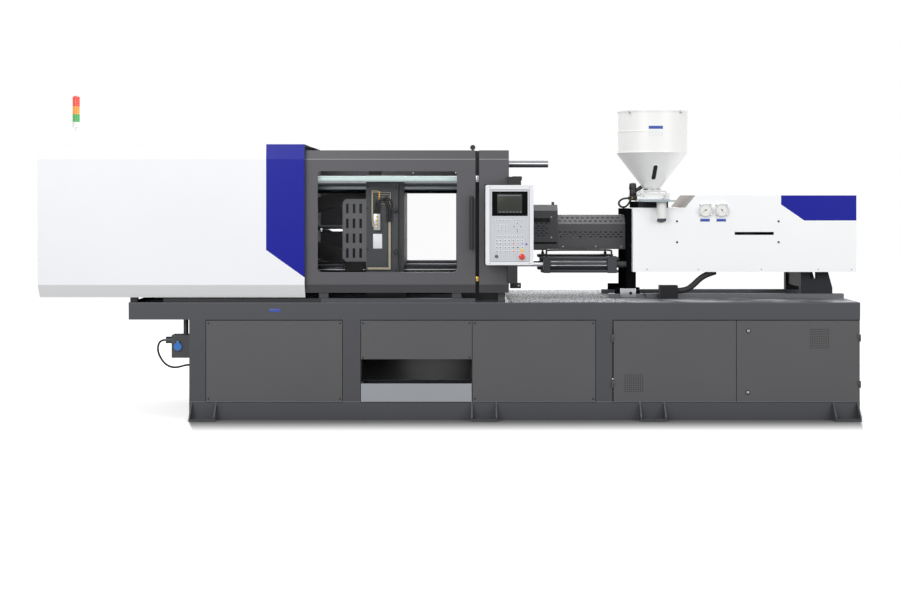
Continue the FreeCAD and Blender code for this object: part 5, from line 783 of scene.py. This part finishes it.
places = [(x, side - 3, z) for x in (-740, -492) for z in (1980, 1800, 1440, 1260)]  # the side plate's screws
addScrews(shape, places, 8, 7, 3, 24, 1.0)
finishPiece("platenSideFittings", shape, "platen", brass, steel, labelWhite, blackPlastic)

shape = bmesh.new()
# painted shade: a near-black sheet behind the slotted bracket
addBlock(shape, (-956, side + 14, 1250), (-764, side + 17, 1790), 0, 1.0)
addScrews(shape, [(x, side + 12, z) for x in (-946, -774) for z in (1262, 1778)], 5, 4, 1, rounding=0.6)
for x in (-917, -858, -801):  # the bracket's upper slots, closed by the same near-black sheet of painted shade
    addBlock(shape, (x - 11.5, side - 0.8, 1754), (x + 11.5, side + 0.2, 1836), 0, 0.2)
finishPiece("bracketBackSheet", shape, "platen", darkInside, steel)

shape = bmesh.new()
x0, x1, y, z = clampLook["sensorBar"]
addDisc(shape, ((x0 + x1) / 2, y, z), right, 15, x1 - x0, 0, rounding=1.5)
addDisc(shape, (x1 - 14, y, z), right, 30, 28, 1, sides=6, rounding=1.5)
addDisc(shape, (x0 + 10, y, z), right, 21, 20, 1, rounding=1.5)
finishPiece("platenSensorBar", shape, "platen", groundBar, steel)

start, heights = clampLook["fittings"]
for index, z in enumerate(heights):
    turn, foot = -541 - 3 * index, 1266 + 3 * index
    route = [(start, side - 16, z), (start + 30, side - 18, z), *[(turn, side - 18, z)] * 2,
             *[(turn, side - 18, foot)] * 2, (-700 + 4 * index, side - 18, foot), (-740, side - 10, foot)]
    pipe("oilLineRight" + str(index + 1), route, clampLook["line"], "platen", creamTube)
for index in range(4):
    x, z = -704 + 3 * index, 1951 - 6 * index
    route = [(-650, side - 16, z), (x, side - 16, z), (x, side - 16, z), (x, side - 14, 1640),
             (x + 20, side - 14, 1636), (-684, side - 14, 1636)]
    pipe("oilLineLeft" + str(index + 1), route, clampLook["line"], "platen", creamTube)

# fixed platen: the black brackets that stick out beside the guard
shape = bmesh.new()
addBlock(shape, (520, -462, 2040), (604, -440, 2076), 0, 4)
addBlock(shape, (500, -462, 1098), (596, -440, 1146), 0, 6)
addScrews(shape, [(576, -464, 2058), (574, -464, 1122)], 9, 6, 1, 6, 1.0)
finishPiece("fixedPlatenBrackets", shape, "machine", blackPlastic, steel)

# guard latches in the gap behind the door
shape = bmesh.new()
addBlock(shape, (196, -781, 2023), (219, -764, 2076), 0, 3)
addBlock(shape, (196, -781, 1178), (219, -764, 1218), 1, 3)
addScrews(shape, [(207, -782, z) for z in (2036, 2063)], 4, 4, 2, 32)
finishPiece("guardLatches", shape, "machine", steel, brass, blackPlastic)

# pressure gauges: printed dial, scale marks, needle and the rim's bolts
gaugeLook = {"middles": (2210, 2352), "height": 1781, "dial": -448.8, "radius": 49, "marks": 11,
             "needles": (-150, -60), "bolts": 66, "studs": 60}
z, radius = gaugeLook["height"], gaugeLook["radius"]


def ray(degrees, width):
    out = Vector((math.cos(math.radians(degrees)), 0, math.sin(math.radians(degrees))))
    return out, Vector((-out.z, 0, out.x)) * width


shape = bmesh.new()
for x, needle in zip(gaugeLook["middles"], gaugeLook["needles"]):
    dial = ((4.6, 0), (radius, 0), (radius, 0.8), (4.6, 0.8), (4.6, 0))
    addTurned(shape, dial, (x, gaugeLook["dial"], z), front, 0, 48)
    for mark in range(gaugeLook["marks"]):
        long, width = (9, 1.1) if mark % 5 == 0 else (6, 0.7)
        out, wide = ray(225 - mark * 27, width)
        near, far = (Vector((x, -450, z)) + out * reach for reach in (44 - long, 44))
        addPlate(shape, [near - wide, far - wide, far + wide, near + wide], front, 0.4, 1)
    out, wide = ray(needle, 2)
    hub = Vector((x, -451.6, z))
    addPlate(shape, [hub - out * 12 - wide, hub + out * 36, hub - out * 12 + wide], front, 0.8, 1)
    addDisc(shape, (x, -452.2, z), front, 6, 1.6, 1, rounding=0.4)
    corners = [ray(degrees, 0)[0] for degrees in (45, 135, 225, 315)]
    addScrews(shape, [Vector((x, -427, z)) + out * gaugeLook["bolts"] for out in corners], 6, 4, 2, 6, 0.6)
    addScrews(shape, [Vector((x, -426, z)) + out * gaugeLook["studs"] for out in corners], 11, 2.4, 3, 32, 0.6)
finishPiece("gaugeDials", shape, "carriage", dialWhite, dialBlack, steel, groundBar)

# injection cover: bare tags under the gauges and the cover's screws
shotLook = {"face": -425, "tags": ((2165, 2249), (2308, 2391)), "tagHeight": (1680, 1704),
            "screws": (1962, 2851), "rows": (1682, 1500), "foot": 1262}
shape = bmesh.new()
face = shotLook["face"]
z0, z1 = shotLook["tagHeight"]
for low, high in shotLook["tags"]:
    addBlock(shape, (low, face - 1.2, z0), (high, face + 0.4, z1), 0, 0.5)
    addScrews(shape, [(x, face - 1.6, (z0 + z1) / 2) for x in (low + 5, high - 5)], 2, 1.6, 2, 16, 0.3)
addScrews(shape, [(x, face - 2, z) for x in shotLook["screws"] for z in shotLook["rows"]], 9, 5, 1, 32, 1.2)
addScrews(shape, [(x, face - 1.2, shotLook["foot"]) for x in (1700, 2150, 2700, 3200, 3490)], 6, 3, 2)
finishPiece("shotCoverFittings", shape, "carriage", tagBlue, blackPlastic, steel)

# barrel guards: screws, and the perforated sheet behind the tilting guard's window
purgeLook = {"face": -212, "window": (728, 862, 1548, 1664), "pitch": (45, 21), "slot": (26, 9),
             "screws": ((877, 1717), (877, 1534), (470, 1717), (470, 1455))}
shape = bmesh.new()
face = purgeLook["face"]
x0, x1, z0, z1 = purgeLook["window"]
wide, tall = purgeLook["slot"]
across, rise = purgeLook["pitch"]
for row in range(6):
    for column in range(3):
        x, z = x0 + (4 if row % 2 else 22) + column * across, z0 + row * rise
        if x + wide < x1 + 2:
            # each hole of the perforated sheet is a near-black patch of painted shade
            addBlock(shape, (x, face - 0.5, z), (x + wide, face + 0.2, z + tall), 0, 0.2)
addScrews(shape, [(x, face - 1.5, z) for x, z in purgeLook["screws"]], 6, 4, 1)
finishPiece("purgeGuardHoles", shape, "nozzle_guard", darkInside, steel)
shape = bmesh.new()
# the liner behind the holes is near black, painted shade
addBlock(shape, (712, -196, 1448), (922, -193, 1728), 0, 1.0)
addScrews(shape, [(910, -198, z) for z in (1470, 1706)], 6, 4, 1)
finishPiece("purgeGuardLiner", shape, "nozzle_guard", darkInside, steel)
shape = bmesh.new()
addScrews(shape, [(x, face - 1.5, 1454) for x in (981, 1271, 1500)], 6, 4)
finishPiece("barrelCoverScrews", shape, "carriage", steel)

# carriage cylinders: bright tie rods over the dark barrels, ports and the oil pipe above
jackLook = {"sides": (-266, 266), "height": 1297, "ties": 57, "from": 790, "to": 1458, "pipe": 8,
            "heads": (788, 1374), "ports": (830, 1406), "scales": ((25, 49), (-6, 55)), "scale": (1116, 4, 560)}
z = jackLook["height"]
start, end = jackLook["from"], jackLook["to"]
shape = bmesh.new()
apart = jackLook["ties"]
for y in jackLook["sides"]:
    for u, v in ((-apart, -apart), (-apart, apart), (apart, -apart), (apart, apart)):
        addDisc(shape, ((start + end) / 2, y + u, z + v), right, 13, end - start, 2, sides=24, rounding=1.0)
        for x in jackLook["heads"]:
            addDisc(shape, (x, y + u, z + v), right, 14, 12, 1, sides=6, rounding=1.0)
    for x in jackLook["ports"]:
        addDisc(shape, (x, y, z + 82), up, 15, 22, 1, sides=6, rounding=1.2)
    outside = math.copysign(1, y)
    x, radius, long = jackLook["scale"]
    for rise, out in jackLook["scales"]:
        addDisc(shape, (x, y + outside * out, z + rise), right, radius, long, 0, sides=16, rounding=0.8)
finishPiece("carriageCylinderTies", shape, "carriage", groundBar, blackPlastic, cylinderPaint)
first, last = jackLook["ports"]
for index, y in enumerate(jackLook["sides"]):
    route = [(first, y, z + 92), (first, y, z + 112), (first, y, z + 124), (first + 40, y, z + 128),
             (last - 46, y, z + 128), (last, y, z + 124), (last, y, z + 112), (last, y, z + 92)]
    pipe("carriageOilPipe" + str(index + 1), route, jackLook["pipe"], "carriage", blackPlastic)

# carriage shoe: ground clamp block with its hole, and the sensor cable that runs down beside it
shape = bmesh.new()
addBlock(shape, (1474, -352, 1012), (1612, -331, 1090), 0, 2.0)
# the block's hole is a near-black disc of painted shade
addDisc(shape, (1566, -352.5, 1048), front, 14, 3, 1, rounding=0.8)
addScrews(shape, [(x, -353.5, 1078) for x in (1490, 1596)], 5, 4, 1, 6, 0.6)
finishPiece("carriageShoeBlock", shape, "carriage", steel, darkInside)
route = [(1608, -338, 1062), (1632, -340, 1080), (1668, -350, 1072), (1690, -362, 1040), (1698, -366, 1012)]
pipe("shoeSensorCable", route, 5, "carriage", blackRubber)

# hopper: bare label, tilted sight glass, seam rings and latches, loader valve with its hose, slide clamp
# and the frame's handle
hopperLook = {"axis": (1799, 0), "drum": 319, "neck": (70, 1967), "cone": (319, 2292),
              "label": (-12.5, 10.1, 2434, 2523, 0.3), "sight": (36, 2056, 2180, 0.07),
              "seams": (2292, 2480, 2660), "latches": (322, 2652, 12)}
cx, cy = hopperLook["axis"]


def onDrum(degrees, radius, z):
    turn = math.radians(degrees)
    return Vector((cx + radius * math.sin(turn), cy - radius * math.cos(turn), z)) * mm


shape = bmesh.new()
a0, a1, z0, z1, band = hopperLook["label"]
steps = 12
fold = z1 - (z1 - z0) * band
for paint, low, high in ((0, z0, fold), (1, fold, z1)):
    rings = []
    for radius in (hopperLook["drum"] - 0.5, hopperLook["drum"] + 1.0):
        for z in (low, high):
            angles = [a0 + (a1 - a0) * step / steps for step in range(steps + 1)]
            rings.append([shape.verts.new(onDrum(angle, radius, z)) for angle in angles])
    inner, innerTop, outer, outerTop = rings
    made = []
    for near, far in ((inner, innerTop), (innerTop, outerTop), (outerTop, outer), (outer, inner)):
        for step in range(steps):
            made.append(shape.faces.new((near[step], near[step + 1], far[step + 1], far[step])))
    for end in (0, steps):
        made.append(shape.faces.new((inner[end], innerTop[end], outerTop[end], outer[end])))
    paintFaces(made, paint)
finishPiece("hopperLabel", shape, "hopper_slider", labelWhite, tagBlue)

shape = bmesh.new()
wide, z0, z1, lean = hopperLook["sight"]
(neckR, neckZ), (coneR, coneZ) = hopperLook["neck"], hopperLook["cone"]
slope = (coneR - neckR) / (coneZ - neckZ)
for grow, lift, paint in ((4, 1, 0), (0, 3, 1)):
    corners = []
    for across, z in ((-1, z0 - grow), (1, z0 - grow), (1, z1 + grow), (-1, z1 + grow)):
        radius = neckR + (z - neckZ) * slope - 3
        shift = (z - (z0 + z1) / 2) * lean
        corners.append(Vector((cx + across * (wide / 2 + grow) + shift, cy - radius, z)))
    # the sight glass shows a near-black plate of painted shade
    addPlate(shape, corners, front - up * slope, 5 + lift, paint, rounding=wide * 0.45)
finishPiece("hopperSightGlass", shape, "hopper_slider", hopperPaint, darkInside, angle=30)

shape = bmesh.new()
for z in hopperLook["seams"]:
    addTurned(shape, ((318, -4), (322, -4), (322, 4), (318, 4), (318, -4)), (cx, cy, z), up, 0, 64)
addTurned(shape, ((69, -5), (84, -5), (84, 5), (69, 5), (69, -5)), (cx, cy, 1963), up, 1, 48)
radius, z, half = hopperLook["latches"]
for degrees in (45, 135, 225, 315):
    x, y = (onDrum(degrees, radius, z) / mm)[:2]
    addBlock(shape, (x - half, y - half, z - half), (x + half, y + half, z + half), 1, 3)
for x in (-60, 60):
    for y in (-60, 60):
        addDisc(shape, (cx + x, cy + y, 1937), up, 9, 8, 1, sides=6, rounding=1.0)
finishPiece("hopperBands", shape, "hopper_slider", hopperPaint, steel)

shape = bmesh.new()
loaderAxis = (1624, -30)
addBlock(shape, (1590, -90, 1864), (1662, 50, 1906), 0, 5)
addDisc(shape, (*loaderAxis, 1932), up, 30, 66, rounding=3)
addDisc(shape, (*loaderAxis, 1990), up, 35, 56, top=30, rounding=4)
addDisc(shape, (*loaderAxis, 2020), up, 12, 12, 1, rounding=2)
addDisc(shape, (1670, -20, 1960), (0.8, 0, 0.6), 18, 92, 0, rounding=2)
addDisc(shape, (1606, -94, 1886), front, 9, 10, 2, sides=6, rounding=1.5)
finishPiece("loaderValve", shape, "hopper_slider", blackPlastic, steel, brass)
route = [(1604, -92, 1888), (1574, -110, 1884), (1524, -130, 1880), (1494, -138, 1862), (1484, -138, 1838),
         (1494, -136, 1814), (1522, -128, 1802), (1554, -110, 1808), (1582, -80, 1836), (1604, -50, 1870)]
pipe("loaderHose", route, 9, "hopper_slider", blackPlastic)
shape = bmesh.new()
addBlock(shape, (1652, -136, 1869), (1946, -121, 1876), 0, 2)
addScrews(shape, [(x, -139, 1905) for x in (1706, 1892)], 7, 4, 1, 6)
addTurned(shape, ((0, 0), (16, 0), (20, 5), (20, 18), (14, 26), (0, 26)), (1664, -122, 1926), front, 2, 24)
finishPiece("hopperSlideClamp", shape, "hopper_slider", tagSilver, steel, whitePlastic)
route = [(1668, -118, 1944), (1668, -160, 1948), (1690, -168, 1948), (1870, -168, 1948), (1900, -164, 1946),
         (1908, -160, 1930), (1906, -160, 1896), (1890, -140, 1884), (1880, -118, 1882)]
pipe("hopperFrameHandle", route, 6, "hopper_slider", whitePlastic)

# the emptying tube's oblique mouth, which faces the operator; its inside, closed 16 mm up, is painted grey as
# painted shade
tubeLook = {"middle": (1819, -480, 1708), "radius": 43.5, "tall": 28, "lean": 0.55, "wall": 4, "deep": 16}
shape = bmesh.new()
addDisc(shape, tubeLook["middle"], up, tubeLook["radius"], tubeLook["tall"], sides=40)
mouth = min((face for face in shape.faces if len(face.verts) > 4), key=lambda face: face.calc_center_median().z)
for vert in mouth.verts:
    vert.co.z -= (vert.co.y - tubeLook["middle"][1] * mm) * tubeLook["lean"]
bmesh.ops.inset_region(shape, faces=[mouth], thickness=tubeLook["wall"] * mm)
mouth.material_index = 1
made = bmesh.ops.extrude_face_region(shape, geom=[mouth])["geom"]
moved = [item for item in made if isinstance(item, bmesh.types.BMVert)]
bmesh.ops.translate(shape, vec=up * tubeLook["deep"] * mm, verts=moved)
bmesh.ops.delete(shape, geom=[mouth], context="FACES_ONLY")
finishPiece("emptyingTubeMouth", shape, "carriage", slidePaint, keyGrey)

# the sheet behind the upper part of the rear door's window, in the darker casting paint of painted shade
shape = bmesh.new()
addBlock(shape, (-800, 739, 1928), (52, 744, 2134), 0, 1.0)
addScrews(shape, [(x, 737.5, 2122) for x in (-780, -374, 32)], 7, 4, 1)
finishPiece("rearDoorHeader", shape, "rear_sliding_door", shadedCasting, steel)

# floor frame: punched vents and locks of the cabinet doors, screws and rear vents of the side panels,
# and painted highlights along the beams' top edges
ventLook = {"face": 786, "slot": (4.5, 15), "holes": 9, "hole": 4.4, "rose": 20, "plug": 12,
            "leftDoor": ((1465, 1614, 243, 382), "left_cabinet_door", ()),
            "rightDoor": ((3041, 3194, 613, 770), "right_cabinet_door", ((2512, 757), (2507, 234))),
            "rear": ((-1900, -1640), (-560, -300), (500, 760), (2600, 2860)), "rearHeight": (560, 760)}
face = ventLook["face"]


def addVent(shape, x0, x1, z0, z1, paint, rim):
    tall, pitch = ventLook["slot"]
    for row in range(int((z1 - z0 - 12) // pitch)):
        z = z0 + 12 + row * pitch
        addBlock(shape, (x0 + 10, face, z), (x1 - 10, face + 0.6, z + tall), paint)
        profile = ((face, tall), (face + 5, tall - 1), (face + 5, tall), (face, tall + 5))
        addPlate(shape, [(x0 + 8, y, z + rise) for y, rise in profile], right, x1 - x0 - 16, rim)


for key in ("leftDoor", "rightDoor"):
    (x0, x1, z0, z1), body, locks = ventLook[key]
    shape = bmesh.new()
    shares = [index / (ventLook["holes"] - 1) for index in range(ventLook["holes"])]
    places = [(x0 + (x1 - x0) * along, -face - 0.2, z0 + (z1 - z0) * rise)
              for rise in shares for along in shares]
    # the punched holes are near-black discs of painted shade
    addScrews(shape, places, ventLook["hole"], 1.2, 0, 12, 0)
    for x, z in locks:
        addScrews(shape, [(x, -face - 1.5, z)], ventLook["rose"], 4, 1, 32, 1.0)
        addScrews(shape, [(x, -face - 4.5, z)], ventLook["plug"], 5, 2, 32, 1.2)
        addBlock(shape, (x - 1.5, -face - 7.6, z - 6), (x + 1.5, -face - 6.6, z + 6), 0, 0.3)
    finishPiece(key + "Vent", shape, body, darkInside, blackPlastic, steel)
shape = bmesh.new()
for x in (-2078, -959, -764, 142, 188, 1193):
    for z in (822, 530) if x in (-764, 142) else (822, 180):  # the panel over the chute is short
        addDisc(shape, (x, -face - 1, z), front, 7, 4, 1, sides=24, rounding=1.0)
        addDisc(shape, (x, face + 1, z), back, 7, 4, 1, sides=24, rounding=1.0)
for x0, x1 in ventLook["rear"]:
    # the rear vents' slots are near-black strips of painted shade under the louvres
    addVent(shape, x0, x1, *ventLook["rearHeight"], 1, 2)
addBlock(shape, (-1560, -787.2, 918), (-1466, -785.8, 944), 3, 0.4)
# painted highlights: pale strips along the top edges of the floor frame's foot beam and the bed's front beam
for low, high in (((-2240, -787.4, 153), (3466, -786, 157)), ((-2755, -787.2, 993), (3462, -786, 996.5))):
    addBlock(shape, low, high, 4, 0.6)
finishPiece("sidePanelFittings", shape, "machine", steel, darkInside, panelPaint, tagBlue, paintedEdgeHighlight)
